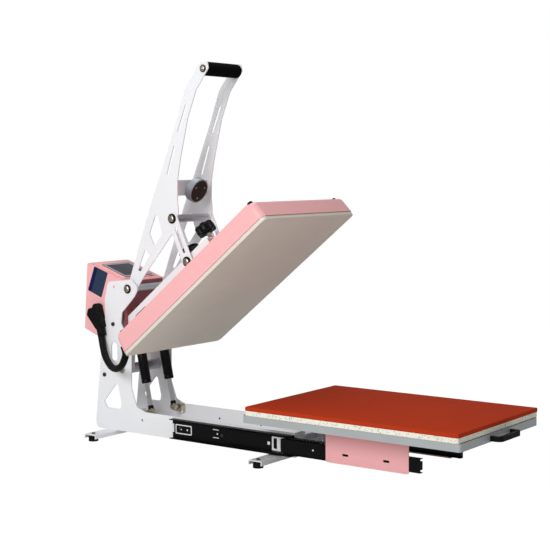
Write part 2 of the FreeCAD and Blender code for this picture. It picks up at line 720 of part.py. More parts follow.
def make_handle():
    ear = [("EarPinBack + 3.5", "EarPinHigh + 22.7"), ("EarPinBack + 16", "EarPinHigh - 8", "12"),
           ("EarPinBack - 8", "EarPinHigh - 18", "12"), ("EarPinBack - 27.3", "EarPinHigh + 5.8")]
    leg = [("444.6", "298.9"), ("TopPinBack + 3.2", "TopPinHigh - 39.2", "18"),
           ("TopPinBack - 18.2", "TopPinHigh + 16.7", "12")]
    front = [("322.1", "508.7"), ("321.3", "557.2"), ("310.5", "614.5"), ("282.9", "723.4"), ("253.2", "795.8")]
    tip = [("GripBack - 18", "GripHigh", "8"), ("GripBack - 14", "GripHigh + 19", "8"),
           ("GripBack + 10", "GripHigh + 17", "8")]
    rear = [("290", "801.8"), ("320.3", "720"), ("360.2", "623.8"), ("422.7", "480.7")]
    outline = ear + leg + front + tip + rear
    kite = [("397.4", "474.5", "5"), ("424", "415.4", "6"), ("406.4", "379.6", "5"), ("378.2", "414.3", "6")]
    low_cut = [("440.5", "372.8", "5"), ("425.1", "354.2", "5"), ("457.7", "309.9", "6"), ("469", "309.4", "4")]
    upper_slot = [("283.7", "757.9", "3"), ("290.1", "760.5", "3"), ("319.5", "688.4", "3"), ("313.1", "685.8", "3")]
    lower_slot = [("325.9", "650.2", "3"), ("332.5", "652.4", "3"), ("359.7", "573.8", "3"), ("353.1", "571.6", "3")]
    holes = [("EarPinBack", "EarPinHigh", "EarPinRadius + PinPlay"), ("GripBack", "GripHigh", "4")]
    body = doc.addObject("PartDesign::Body", "handle_plate_left")
    pad(body, SIDE, [outline, kite, low_cut, upper_slot, lower_slot] + holes, "SteelThick",
        "-HandleInner - SteelThick")
    settle(piece(body, "handle_plate_left"))
    piece(mirrored(body), "handle_plate_right")

    foam = less(rod("GripRadius", "-HandleInner", "HandleInner", y="GripBack", z="GripHigh"),
                [rod("8", "-HandleInner", "HandleInner", y="GripBack", z="GripHigh")])
    settle(piece(foam, "handle_grip"))
    settle(piece(joined([rod("8", "-HandleInner", "HandleInner", y="GripBack", z="GripHigh"),
                         rod("4", "-HandleInner - SteelThick - 1", "HandleInner + SteelThick + 1", y="GripBack",
                             z="GripHigh"),
                         rod("8", "-HandleInner - SteelThick - 6", "-HandleInner - SteelThick", y="GripBack",
                             z="GripHigh"),
                         rod("8", "HandleInner + SteelThick", "HandleInner + SteelThick + 6", y="GripBack",
                             z="GripHigh")]), "grip_rod"))
    tube = less(rod("CrossTubeRadius", "-HandleInner", "HandleInner", y="TopPinBack", z="TopPinHigh"),
                [rod("CrossTubeRadius - 3", "-HandleInner", "HandleInner", y="TopPinBack", z="TopPinHigh")])
    settle(piece(tube, "handle_cross_tube"))

    bracket = doc.addObject("PartDesign::Body", "magnet_bracket")
    pad(bracket, FRONT, [rectangle("-HandleInner", "HandleInner", "MagnetHigh - 11", "MagnetHigh + 31")], "4",
        "-MagnetBack - 24")
    for side, offset in (("-HandleInner", "-HandleInner"), ("HandleInner - 3", "HandleInner - 3")):
        tab = [("MagnetBack + 20", "MagnetHigh - 11"), ("MagnetBack + 42", "MagnetHigh - 11", "3"),
               ("MagnetBack + 42", "MagnetHigh + 31", "3"), ("MagnetBack + 20", "MagnetHigh + 31")]
        pad(bracket, SIDE, [tab], "3", offset)
    settle(piece(bracket, "magnet_bracket"))
    magnet = rod("MagnetRadius", "0", "MagnetDeep - 5", along="y")
    ring = doc.addObject("Part::Chamfer", "MagnetRim")
    ring.Base = magnet
    doc.recompute()
    ring.Edges = [(index, 1.5, 1.5) for index, edge in enumerate(magnet.Shape.Edges, start=1)
                  if edge.isClosed() and edge.BoundBox.YLength < 0.01]
    settle(piece(ring, "electromagnet"), y="MagnetBack", z="MagnetHigh", turn="MagnetTilt")
    face = together([rod("MagnetRadius - 4", "-0.6", "0", along="y")])
    screws = []
    for turn in (90, 210, 330):
        x = "%.4f * (MagnetRadius - 12)" % math.cos(math.radians(turn))
        z = "%.4f * (MagnetRadius - 12)" % math.sin(math.radians(turn))
        screws.append(rod("2.2", "-1.4", "-0.6", x=x, z=z, along="y"))
    settle(piece(face, "magnet_face"), y="MagnetBack", z="MagnetHigh", turn="MagnetTilt")
    screws.append(rod("8", "MagnetDeep - 5", "MagnetDeep + 12", along="y"))
    studs = together(screws)
    settle(studs, y="MagnetBack", z="MagnetHigh", turn="MagnetTilt")
    wall = block("-20", "20", "MagnetBack + 20 - BackShift", "MagnetBack + 80 - BackShift",
                 "MagnetHigh - 60 + PadTop", "MagnetHigh + 60 + PadTop")
    piece(less(studs, [wall]), "magnet_fasteners")


# Links: a slotted bar outside each handle plate, from the cross tube to the arm.

def make_links():
    run = "sqrt((TopPinBack - LowPinBack) ^ 2 + (TopPinHigh - LowPinHigh) ^ 2)"
    lean = "-atan((TopPinBack - LowPinBack) / (TopPinHigh - LowPinHigh))"
    bar = rectangle("-LinkHalf", "LinkHalf", "-%s - LinkHalf" % run, "LinkHalf", "LinkHalf - 0.3")
    slot = rectangle("-2.6", "2.6", "24 - %s" % run, "-24", "2.4")
    holes = [("0", "0", "LinkPinRadius"), ("0", "-" + run, "LinkPinRadius + PinPlay")]
    body = doc.addObject("PartDesign::Body", "Link")
    pad(body, SIDE, [bar, slot] + holes, "LinkThick", "-" + LINK_OUT)
    place = dict(y="TopPinBack", z="TopPinHigh", turn=lean)
    settle(body, **place)
    both(body, "links")
    pins = []
    for side in (-1, 1):
        spans = (("LinkPinRadius", "HandleInner + SteelThick + OpenPinGap", LINK_OUT), ("10", LINK_OUT, LINK_OUT + " + 1.5"),
                 ("7.5", LINK_OUT + " + 1.5", LINK_OUT + " + 6.5"))
        parts = []
        for radius, low, high in spans:
            start, end = (low, high) if side > 0 else ("-(%s)" % high, "-(%s)" % low)
            parts.append(rod(radius, start, end, y="TopPinBack", z="TopPinHigh"))
        pins.append(joined(parts))
    settle(piece(together(pins), "link_pins_top"))


# Gas springs between the arm and the side plates.

def make_gas_springs():
    run = "sqrt((SpringTopBack - SpringFootBack) ^ 2 + (SpringTopHigh - SpringFootHigh) ^ 2)"
    lean = "-atan((SpringTopBack - SpringFootBack) / (SpringTopHigh - SpringFootHigh))"
    place = dict(y="SpringTopBack", z="SpringTopHigh", turn=lean)
    foot = "-14 - GasCylinderLong"
    side = "-GasPlace"
    shell = joined([rod("GasRadius", foot, "-14", x=side, along="z"),
                    rod("5", "-14", "-6", x=side, along="z"),
                    rod("9", side + " - 6", side + " + 6")])
    bores = [rod("GasRadius - 1.6", foot + " + 8", "-17", x=side, along="z"),
             rod("GasRodRadius + PinPlay", foot, foot + " + 8", x=side, along="z"),
             rod("4.05", side + " - 7", side + " + 7")]
    groove = less(rod("GasRadius + 1", foot + " + 11", foot + " + 14", x=side, along="z"),
                  [rod("GasRadius - 0.7", foot + " + 11", foot + " + 14", x=side, along="z")])
    cylinder = less(shell, bores + [groove])
    settle(cylinder, **place)
    both(cylinder, "gas_cylinders")

    piston_rod = joined([rod("GasRodRadius", "8 - %s" % run, "-66", x=side, along="z"),
                         rod("GasRadius - 1.7", "-74", "-66", x=side, along="z"),
                         rod("8", side + " - 6", side + " + 6", z="-" + run),
                         rod("4", "-SideInner + 20 + OpenPinGap", side, z="-" + run)])
    settle(piston_rod, **place)
    both(piston_rod, "gas_rods")

    loop = [("SpringFootBack - 14", "SpringFootHigh - 16"), ("SpringFootBack + 14", "SpringFootHigh - 16"),
            ("SpringFootBack + 14", "SpringFootHigh + 4", "9"), ("SpringFootBack - 14", "SpringFootHigh + 4", "9")]
    bracket = flat(SIDE, [loop], "20", "-SideInner")
    settle(bracket)
    both(bracket, "spring_brackets")


# Pivots carried by the side plates: the arm's shaft and the handle's pin, with their spacers.

def make_pivots():
    shafts, spacers = [], []
    lock = "(SideInner + SteelThick)"
    shaft = dict(y="ShaftBack", z="ShaftHigh")
    ear = dict(y="EarPinBack", z="EarPinHigh")
    shafts.append(joined([rod("ShaftRadius", "-SideInner", "SideInner", **shaft),
                          rod("LinkPinRadius", "-%s - 1" % lock, lock + " + 1", **shaft),
                          rod("10", "-%s - 6" % lock, "-" + lock, **shaft),
                          rod("10", lock, lock + " + 6", **shaft)]))
    shafts.append(joined([rod("EarPinRadius", "-%s - 1" % lock, lock + " + 1", **ear),
                          rod("9", "-%s - 6" % lock, "-" + lock, **ear),
                          rod("9", lock, lock + " + 6", **ear)]))
    settle(piece(together(shafts), "pivot_shafts"))
    spans = [("14", "ShaftRadius", "-ArmHalf + ArmWall + 0.1", "ArmHalf - ArmWall - 0.1", shaft),
             ("13", "ShaftRadius", "-SideInner", "-ArmHalf - 0.1", shaft),
             ("13", "ShaftRadius", "ArmHalf + 0.1", "SideInner", shaft),
             ("10", "EarPinRadius", "-HandleInner + 0.1", "HandleInner - 0.1", ear),
             ("9", "EarPinRadius", "-SideInner", "-HandleInner - SteelThick - 0.1", ear),
             ("9", "EarPinRadius", "HandleInner + SteelThick + 0.1", "SideInner", ear)]
    for outer, inner, start, end, spot in spans:
        spacers.append(less(rod(outer, start, end, **spot), [rod(inner, start, end, **spot)]))
    settle(piece(together(spacers), "pivot_spacers"))


# Control box between the towers: a folded shell, two side covers, panel, inlet and switch.

def make_control_box():
    wall = "BoxWall"
    corners = [("BoxTopFront", "BoxTopFrontHigh"), ("BoxFrontFoot", "BoxFrontFootHigh"), ("BoxBack", "BoxBackFoot"),
               ("BoxTopBack", "BoxTopBackHigh")]
    outer = [corner + ("5",) for corner in corners]
    inner = [("BoxTopFront + 3", "BoxTopFrontHigh - 0.6", "3"), ("BoxFrontFoot + 1", "BoxFrontFootHigh + 2.2", "3"),
             ("BoxBack - 1.6", "BoxBackFoot + 1.2", "3"), ("BoxTopBack - 1.5", "BoxTopBackHigh - 2.2", "3")]
    body = doc.addObject("PartDesign::Body", "control_box")
    pad(body, SIDE, [inner, outer], "(SideInner - BoxWall) * 2", "BoxWall - SideInner")
    window = rectangle("-49", "-19", "BoxBackFoot + 13", "BoxBackFoot + 40")
    switch_hole = rectangle("9", "39", "BoxBackFoot + 13", "BoxBackFoot + 40")
    pocket(body, FRONT, [window, switch_hole], "16", "-BoxBack - 6", reverse=True)
    settle(piece(body, "control_box"))
    cover = flat(SIDE, [outer], wall, "-SideInner")
    settle(cover)
    both(cover, "box_side_covers")

    slope = "atan((BoxTopBackHigh - BoxTopFrontHigh) / (BoxTopBack - BoxTopFront))"
    place = dict(y="BoxTopFront", z="BoxTopFrontHigh", turn=slope)
    settle(plate("control_panel", TOP, [rectangle("-66", "66", "14", "134", "8")], "4"), **place)
    settle(plate("panel_window", TOP, [rectangle("-56", "56", "26", "118", "4")], "0.6", "4"), **place)
    board = block("-50", "50", "20", "124", "-11", "-9")
    legs = [rod("3", "-9", "-1.6", x=x, y=y, along="z") for x in ("-44", "44") for y in ("26", "118")]
    settle(piece(joined([board] + legs), "controller_board"), **place)

    lean = "atan((BoxBack - BoxTopBack) / (BoxTopBackHigh - BoxBackFoot))"
    rear = dict(y="BoxBack", z="BoxBackFoot", turn=lean)
    flange = block("-53", "-15", "0", "2.6", "9", "43")
    mouth = block("-47", "-21", "-14", "2.6", "15", "37")
    socket = block("-44", "-24", "-11", "3", "17", "35")
    pins = [block(x, x + " + 1.6", "-11", "-2", "20", "25") for x in ("-40", "-34.8", "-29.6")]
    settle(piece(joined([less(joined([flange, mouth]), [socket])] + pins), "power_inlet"), **rear)
    bezel = less(joined([block("5", "43", "0", "2.6", "9", "43"), block("11", "37", "-16", "0", "15", "37")]),
                 [block("13", "35", "-14.5", "3", "17", "35")])
    settle(piece(bezel, "switch_frame"), **rear)
    rocker = doc.addObject("PartDesign::Body", "power_switch")
    face = [("-9", "-4"), ("-9", "4"), ("4.6", "7.7"), ("2.2", "0"), ("4.6", "-7.7")]
    pad(rocker, SIDE, [face], "21", "13.5")
    rise = "(BoxBack - BoxTopBack) / (BoxTopBackHigh - BoxBackFoot)"
    settle(piece(rocker, "power_switch"), y="BoxBack - 26 * " + rise, z="BoxBackFoot + 26", turn=lean + " + 7 deg")
    boot = doc.addObject("PartDesign::Body", "cable_gland")
    outline = [("583.5", "152"), ("607", "142.5"), ("653", "181", "11"), ("645", "205", "11"), ("627", "206"),
               ("618", "225", "11"), ("599", "219", "11")]
    lobes = [("600", "190"), ("652", "190", "4"), ("645", "204", "10"), ("627", "206"), ("618", "224", "10"),
             ("600", "218", "10")]
    pad(boot, SIDE, [lobes], "SteelThick + 1", "-SideInner - SteelThick - 1")
    moulded = pad(boot, SIDE, [outline], "22", "-SideInner - SteelThick - 22.1")
    rim = ["Edge%d" % index for index, edge in enumerate(moulded.Shape.Edges, start=1)
           if edge.BoundBox.XMax < moulded.Shape.BoundBox.XMin + 1e-4]
    soft = boot.newObject("PartDesign::Fillet", "SoftEdge")
    soft.Base = (moulded, rim)
    soft.Radius = 5
    settle(piece(boot, "cable_gland"))


# Cable sleeve: hangs in a slack bow from the gland on the box to the back of the platen.

def tube_along(stops, radius):
    """A round tube along straight runs joined by tangent arcs."""
    stops = [FreeCAD.Vector(*stop) for stop in stops]
    edges = []
    start = stops[0]
    for before, corner, after in zip(stops, stops[1:], stops[2:]):
        way_in, way_out = (before - corner), (after - corner)
        half_turn = (math.pi - way_in.getAngle(way_out)) / 2
        reach = 0.45 * min(way_in.Length, way_out.Length)
        bend = reach / math.tan(half_turn)
        print("cable bend radius %.1f" % bend)
        way_in.normalize()
        way_out.normalize()
        centre = corner + (way_in + way_out).normalize() * math.hypot(bend, reach)
        middle = centre + (corner - centre).normalize() * bend
        enter, leave = corner + way_in * reach, corner + way_out * reach
        edges.append(Part.makeLine(start, enter))
        edges.append(Part.Arc(enter, middle, leave).toShape())
        start = leave
    edges.append(Part.makeLine(start, stops[-1]))
    spine = Part.Wire(edges)
    ring = Part.Wire(Part.makeCircle(radius, stops[0], stops[1] - stops[0]))
    return spine.makePipeShell([ring], True, False), spine.Length


def make_cable():
    stops = [(-95.6, 595.2, 147.2), (-95.6, 562, 65), (-150, 496, 26), (-184, 451, 93.4), (-184, 420.3, 117.8)]
    tube, length = tube_along(stops, 9.5)
    print("cable length %.0f" % length)
    sleeve = doc.addObject("Part::Feature", "platen_cable")
    sleeve.Shape = tube
    settle(piece(sleeve, "platen_cable"))


# Screws of the frame: heads that show on the side plates and foot bars.

def make_frame_bolts(foot_screws):
    heads = list(foot_screws)
    face = "-SideInner - SteelThick"
    web = face + " - SlideGap - SlideMetal"
    spans = [("5.5", face, "553", "159"), ("5.5", face, "589", "14")]
    spans += [("4.5", web, y, z) for y, z in SLIDE_SCREWS]
    for head, seat, y, z in spans:
        high = "1.4" if seat == web else "3.5"
        left = joined([rod(head, seat + " - " + high, seat, y=y, z=z), rod("3", seat, "-SideInner", y=y, z=z)])
        heads.append(left)
        heads.append(mirrored(left))
    settle(piece(together(heads), "frame_bolts"))


make_bed()
make_slides()
foot_screws = make_frame()
make_ties()
make_arm()
make_platen()
make_knob()
make_handle()
make_links()
make_gas_springs()
make_pivots()
make_control_box()
make_cable()
make_frame_bolts(foot_screws)

# Check and export.

os.makedirs("parts", exist_ok=True)
doc.recompute()
for thing in doc.Objects:
    if "Invalid" in thing.State or "Error" in thing.State:
        raise RuntimeError("%s (%s) did not build: %s" % (thing.Name, thing.Label, thing.State))
for thing in pieces:
    if thing.Shape.isNull() or not thing.Shape.isValid():
        raise RuntimeError(thing.Label + " has no valid shape")
    thing.Shape.exportStep("parts/%s.step" % thing.Label)
print(len(pieces), "pieces")
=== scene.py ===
"""An auto-open heat press: finishes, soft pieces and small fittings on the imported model."""
import json
import math

import bmesh
import bpy
from mathutils import Matrix, Vector


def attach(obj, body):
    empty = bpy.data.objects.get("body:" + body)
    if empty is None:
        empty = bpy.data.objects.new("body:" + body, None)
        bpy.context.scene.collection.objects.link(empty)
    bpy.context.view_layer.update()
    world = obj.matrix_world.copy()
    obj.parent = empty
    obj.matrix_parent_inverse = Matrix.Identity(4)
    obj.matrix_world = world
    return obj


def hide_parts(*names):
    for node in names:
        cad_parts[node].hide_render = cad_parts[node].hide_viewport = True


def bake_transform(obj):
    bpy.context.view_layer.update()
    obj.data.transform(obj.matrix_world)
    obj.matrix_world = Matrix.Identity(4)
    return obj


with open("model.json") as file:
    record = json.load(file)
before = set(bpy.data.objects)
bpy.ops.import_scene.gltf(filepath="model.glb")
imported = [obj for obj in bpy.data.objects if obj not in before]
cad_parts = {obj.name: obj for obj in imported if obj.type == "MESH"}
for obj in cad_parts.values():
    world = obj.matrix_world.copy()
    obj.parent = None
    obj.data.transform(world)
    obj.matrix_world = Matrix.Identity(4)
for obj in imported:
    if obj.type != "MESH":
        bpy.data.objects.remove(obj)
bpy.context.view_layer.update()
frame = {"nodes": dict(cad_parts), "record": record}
nodes = frame["nodes"]


# Shader sums: a socket that adds the Math node of any Python sum it is in
class Sum:
    def __init__(self, finish, socket):
        self.finish = finish
        self.socket = socket

    def __add__(self, other):
        return self.finish.math("ADD", self, other)

    def __radd__(self, other):
        return self.finish.math("ADD", other, self)

    def __mul__(self, other):
        return self.finish.math("MULTIPLY", self, other)

    def __rmul__(self, other):
        return self.finish.math("MULTIPLY", other, self)

    def __gt__(self, other):
        return self.finish.math("GREATER_THAN", self, other)

    def __lt__(self, other):
        return self.finish.math("LESS_THAN", self, other)


# One material, drawn on the object's own coordinates in metres
class Finish:
    def __init__(self, name):
        self.material = bpy.data.materials.new(name)
        self.material.use_nodes = True
        self.tree = self.material.node_tree
        self.tree.nodes.clear()
        self.place = self.node("ShaderNodeTexCoord", out="Object")

    def node(self, kind, settings=None, feeds=None, out=0):
        made = self.tree.nodes.new(kind)
        for name, value in (settings or {}).items():
            setattr(made, name, value)
        for name, value in (feeds or {}).items():
            self.feed(self.socket(made.inputs, name), value)
        return Sum(self, self.socket(made.outputs, out)) if made.outputs else None

    def socket(self, sockets, name):
        """The socket with that number, identifier or name."""
        if isinstance(name, int):
            return sockets[name]
        for socket in sockets:
            if socket.identifier == name:
                return socket
        return sockets[name]

    def feed(self, socket, value):
        if isinstance(value, Sum):
            self.tree.links.new(value.socket, socket)
        elif isinstance(value, (tuple, list)) and len(value) == 3 and socket.type == "RGBA":
            socket.default_value = (*value, 1.0)
        else:
            socket.default_value = value

    def math(self, operation, first, second):
        return self.node("ShaderNodeMath", {"operation": operation}, {0: first, 1: second})

    def mixed(self, plain, other, share):
        return self.node(
            "ShaderNodeMix",
            {"data_type": "RGBA"},
            {"Factor_Float": share, "A_Color": plain, "B_Color": other},
            out="Result_Color",
        )

    def noise(self, size, detail=2.0, stretch=None):
        """Soft noise, 0 to 1, whose spots are of that size in metres."""
        where = self.place
        if stretch:
            where = self.node("ShaderNodeMapping", None, {"Vector": where, "Scale": stretch})
        return self.node(
            "ShaderNodeTexNoise",
            None,
            {"Vector": where, "Scale": 1.0 / size, "Detail": detail},
            out="Fac",
        )

    def grains(self, size):
        """How far a point is from its cell's middle, for cells of that size in metres."""
        return self.node(
            "ShaderNodeTexVoronoi",
            None,
            {"Vector": self.place, "Scale": 1.0 / size},
            out="Distance",
        )

    def relief(self, height, depth, strength):
        return self.node(
            "ShaderNodeBump", None, {"Height": height, "Distance": depth, "Strength": strength}
        )

    def close(self, colour, roughness, normal=None, metallic=0.0, **plain):
        feeds = {"Base Color": colour, "Roughness": roughness, "Metallic": metallic}
        if normal is not None:
            feeds["Normal"] = normal
        for name, value in plain.items():
            feeds[name.replace("_", " ")] = value
        shader = self.node("ShaderNodeBsdfPrincipled", None, feeds)
        self.node("ShaderNodeOutputMaterial", None, {"Surface": shader})
        return self.material


def linear(red, green, blue):
    """A colour written as it looks on a screen, 0 to 255, for a shader."""
    steps = [value / 255.0 for value in (red, green, blue)]
    return tuple(s / 12.92 if s <= 0.04045 else ((s + 0.055) / 1.055) ** 2.4 for s in steps)


def shade(colour, factor):
    return tuple(min(1.0, value * factor) for value in colour)


# Finishes; sizes are in metres
DULL = 0.18  # the specular level of black paint and plastic, which would mirror the white room


def powder_coat(name, colour):
    coat = Finish(name)
    drift = coat.noise(0.18, detail=3.0)
    tint = coat.mixed(shade(colour, 0.965), shade(colour, 1.015), drift)
    peel = coat.noise(0.0016, detail=2.0)
    gloss = 0.34 + 0.08 * coat.noise(0.03)
    return coat.close(tint, gloss, coat.relief(peel, 0.00003, 0.25), Coat_Weight=0.15)


def silicone(name, colour):
    pad = Finish(name)
    drift = pad.noise(0.12, detail=4.0)
    tint = pad.mixed(shade(colour, 0.93), shade(colour, 1.06), drift)
    pores = pad.noise(0.0012, detail=3.0)
    gloss = 0.66 + 0.12 * pad.noise(0.02)
    return pad.close(tint, gloss, pad.relief(pores, 0.00012, 0.5), Specular_IOR_Level=0.05)


def speckled_board(name, colour):
    board = Finish(name)
    drift = board.noise(0.01, detail=4.0)
    tint = board.mixed(shade(colour, 0.86), shade(colour, 1.04), drift)
    flecks = (board.grains(0.0038) < 0.27) * (board.noise(0.011, detail=1.0) > 0.47)
    speckled = board.mixed(tint, linear(96, 92, 78), flecks * 0.85)
    chips = (board.grains(0.006) < 0.2) * (board.noise(0.014, detail=1.0) < 0.5)
    chipped = board.mixed(speckled, linear(168, 160, 130), chips * 0.8)
    grain = board.noise(0.0011, detail=3.0)
    return board.close(chipped, 0.72 + 0.14 * drift, board.relief(grain, 0.0002, 0.5))


def brushed_sheet(name, colour):
    sheet = Finish(name)
    lines = sheet.noise(0.0009, detail=2.0, stretch=(1.0, 0.02, 1.0))
    cloud = sheet.noise(0.07, detail=3.0)
    tint = sheet.mixed(shade(colour, 0.92), shade(colour, 1.05), cloud)
    gloss = 0.34 + 0.09 * lines + 0.05 * cloud
    return sheet.close(tint, gloss, sheet.relief(lines, 0.00003, 0.3), metallic=0.4)


def coated_casting(name, colour):
    plate = Finish(name)
    cloud = plate.noise(0.09, detail=4.0)
    grain = plate.noise(0.0013, detail=3.0)
    tint = plate.mixed(shade(colour, 0.94), shade(colour, 1.05), cloud)
    gloss = 0.46 + 0.12 * grain
    return plate.close(tint, gloss, plate.relief(grain, 0.00008, 0.4), metallic=0.05)


def plated_steel(name, colour, roughness=0.28):
    steel = Finish(name)
    cloud = steel.noise(0.02, detail=3.0)
    fine = steel.noise(0.0008, detail=2.0)
    tint = steel.mixed(shade(colour, 0.9), shade(colour, 1.08), cloud)
    gloss = roughness - 0.05 + 0.12 * cloud
    return steel.close(tint, gloss, steel.relief(fine, 0.00002, 0.3), metallic=1.0)


def black_paint(name, colour, roughness=0.42):
    paint = Finish(name)
    cloud = paint.noise(0.05, detail=3.0)
    fine = paint.noise(0.001, detail=2.0)
    tint = paint.mixed(shade(colour, 0.8), shade(colour, 1.35), cloud)
    gloss = roughness - 0.07 + 0.14 * cloud
    return paint.close(tint, gloss, paint.relief(fine, 0.00004, 0.4), Specular_IOR_Level=DULL)


def moulded_plastic(name, colour, roughness=0.5, depth=0.00006):
    plastic = Finish(name)
    cloud = plastic.noise(0.03, detail=3.0)
    grain = plastic.noise(0.0009, detail=2.0)
    tint = plastic.mixed(shade(colour, 0.88), shade(colour, 1.15), cloud)
    gloss = roughness - 0.05 + 0.1 * grain
    return plastic.close(tint, gloss, plastic.relief(grain, depth, 0.5), Specular_IOR_Level=DULL)


def foam_rubber(name, colour):
    foam = Finish(name)
    cells = foam.grains(0.0011)
    cloud = foam.noise(0.02, detail=3.0)
    tint = foam.mixed(shade(colour, 0.7), shade(colour, 1.6), cloud)
    return foam.close(
        tint, 0.82 + 0.1 * cells, foam.relief(cells, 0.00025, 0.6), Specular_IOR_Level=0.1
    )


def display_glass(name, colour):
    glass = Finish(name)
    cloud = glass.noise(0.05, detail=2.0)
    tint = glass.mixed(shade(colour, 0.85), shade(colour, 1.2), cloud)
    return glass.close(tint, 0.3 + 0.1 * cloud, Specular_IOR_Level=0.3)


def fibre_wool(name, colour):
    wool = Finish(name)
    strands = wool.noise(0.002, detail=5.0, stretch=(1.0, 1.0, 3.0))
    tint = wool.mixed(shade(colour, 0.75), shade(colour, 1.1), strands)
    return wool.close(tint, 0.95, wool.relief(strands, 0.0008, 0.8))


finishes = {
    "white_steel": powder_coat("white_powder_coat", linear(243, 244, 247)),
    "pink_steel": powder_coat("pink_powder_coat", linear(252, 185, 187)),
    "pad_red": silicone("red_silicone", linear(184, 57, 24)),
    "board_white": speckled_board("speckled_board", linear(246, 244, 229)),
    "tray_aluminium": brushed_sheet("aluminium_sheet", linear(196, 202, 204)),
    "hot_aluminium": coated_casting("coated_heat_plate", linear(232, 224, 212)),
    "steel": plated_steel("plated_steel", linear(196, 196, 194)),
    "chrome_rod": plated_steel("chrome", linear(224, 224, 224), 0.1),
    "black_steel": black_paint("black_painted_steel", linear(9, 9, 9)),
    "black_plastic": moulded_plastic("black_moulding", linear(11, 11, 12)),
    "black_rubber": moulded_plastic("black_rubber", linear(9, 9, 9), 0.6, 0.0001),
    "foam": foam_rubber("foam_grip", linear(6, 6, 7)),
    "grey_plastic": moulded_plastic("grey_moulding", linear(150, 152, 152), 0.45),
    "dark_window": display_glass("display_window", linear(66, 68, 74)),
    "green_board": moulded_plastic("circuit_board", linear(40, 110, 60), 0.4),
    "wool": fibre_wool("insulation_wool", linear(226, 214, 186)),
    "white_plastic": moulded_plastic("white_moulding", linear(228, 229, 229), 0.45),
    "knob_black": moulded_plastic("knob_moulding", linear(9, 9, 10), 0.4),
    "washer_black": black_paint("washer_finish", linear(20, 20, 21), 0.5),
    "bolt_steel": plated_steel("bolt_finish", linear(200, 190, 172), 0.3),
    "bolt_dark": plated_steel("dark_bolt_finish", linear(96, 90, 84), 0.4),
    "magnet_steel": plated_steel("magnet_steel", linear(168, 174, 181), 0.5),
    "dull_steel": plated_steel("dull_steel", linear(206, 207, 212), 0.42),
    "spring_black": black_paint("spring_paint", linear(12, 12, 13), 0.3),
    "magnet_brown": black_paint("magnet_coil_face", linear(44, 36, 32), 0.55),
    "navy_sheet": moulded_plastic("navy_sheet", linear(44, 58, 82), 0.4),
    "navy_band": moulded_plastic("navy_band", linear(9, 24, 78), 0.4),
    # painted shade: a darker pink for the box's front wall, which lies in shadow
    "painted_shade_pink": powder_coat("shaded_pink_coat", linear(142, 66, 71)),
    "frame_grey": moulded_plastic("frame_moulding", linear(170, 174, 180), 0.45),
}
# Each node has its slot's finish, but for a few whose metal looks otherwise in the photograph
look_of = {part["node"]: part["material_slot"] for part in frame["record"]["subparts"]}
look_of.update(
    frame_bolts="bolt_dark",
    spring_brackets="bolt_steel",
    ball_cages="black_plastic",
    handle_cross_tube="dull_steel",
    pivot_spacers="dull_steel",
)
for name, node in nodes.items():
    node.data.materials.clear()
    node.data.materials.append(finishes[look_of[name]])


def finish_piece(piece, finish, body, *replaced):
    """Gives a piece its material, its body, if it rides on one, and the nodes it stands for."""
    piece.data.materials.clear()
    piece.data.materials.append(finishes[finish])
    if body:
        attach(piece, body)
    if replaced:
        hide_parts(*replaced)
    return piece


# The drawing's frame is in millimetres from the pad's rear top edge, which is here in the press's
# own frame; this and every other pair is (y, z)
PAD_REAR_EDGE = (-20.75, 160.0)
DRAWING = Matrix.Scale(0.001, 4) @ Matrix.Translation((0.0, *PAD_REAR_EDGE))


def tilted(pair, turn, x=0.0):
    """A place in the drawing, turned about X by so many radians."""
    return DRAWING @ Matrix.Translation((x, *pair)) @ Matrix.Rotation(turn, 4, "X")


MAGNET_MIDDLE = (306.2, 528.3)
SPRING_TOP, SPRING_FALL = (494.0, 133.0), (45.7, 214.0)
TOP_PIN, LOW_PIN = (337.0, 456.5), (286.3, 343.0)  # the links' pins
EAR_PIN, ARM_SHAFT = (497.0, 260.0), (521.0, 33.6)  # the handle's and the arm's pivots
GRIP = (228.0, 850.0)
PLATEN = tilted((397.5, 97.5), math.radians(-38.5))
MAGNET = tilted(MAGNET_MIDDLE, math.radians(23.0 - 90.0))
PANEL = tilted((515.0, 281.0), math.radians(18.8))
GAS_SPRING = tilted(SPRING_TOP, -math.atan2(*SPRING_FALL))
# A form pressed with the first turn is drawn on Y and Z, its height along X; with the second, it is
# drawn on X and Z, its height along Y
SIDE_TURN = Matrix(((0, 0, 1, 0), (1, 0, 0, 0), (0, 1, 0, 0), (0, 0, 0, 1)))
BACK_TURN = Matrix(((1, 0, 0, 0), (0, 0, 1, 0), (0, 1, 0, 0), (0, 0, 0, 1)))
SIDEWAYS = DRAWING @ SIDE_TURN
HERE = Matrix.Identity(4)
MERGE = 2e-6  # vertices closer than this, in metres, are one


def outward(side, y, z):
    """A place whose height runs along X, away from the middle on that side."""
    return DRAWING @ Matrix.Translation((0.0, y, z)) @ Matrix.Rotation(side * math.pi / 2, 4, "Y")


def linked(name, data):
    made = bpy.data.objects.new(name, data)
    bpy.context.scene.collection.objects.link(made)
    return made


def evaluated(made):
    """The mesh that an object ends up with, after its modifiers; the object itself goes."""
    bpy.context.view_layer.update()
    graph = bpy.context.evaluated_depsgraph_get()
    mesh = bpy.data.meshes.new_from_object(made.evaluated_get(graph))
    bpy.data.objects.remove(made)
    return mesh


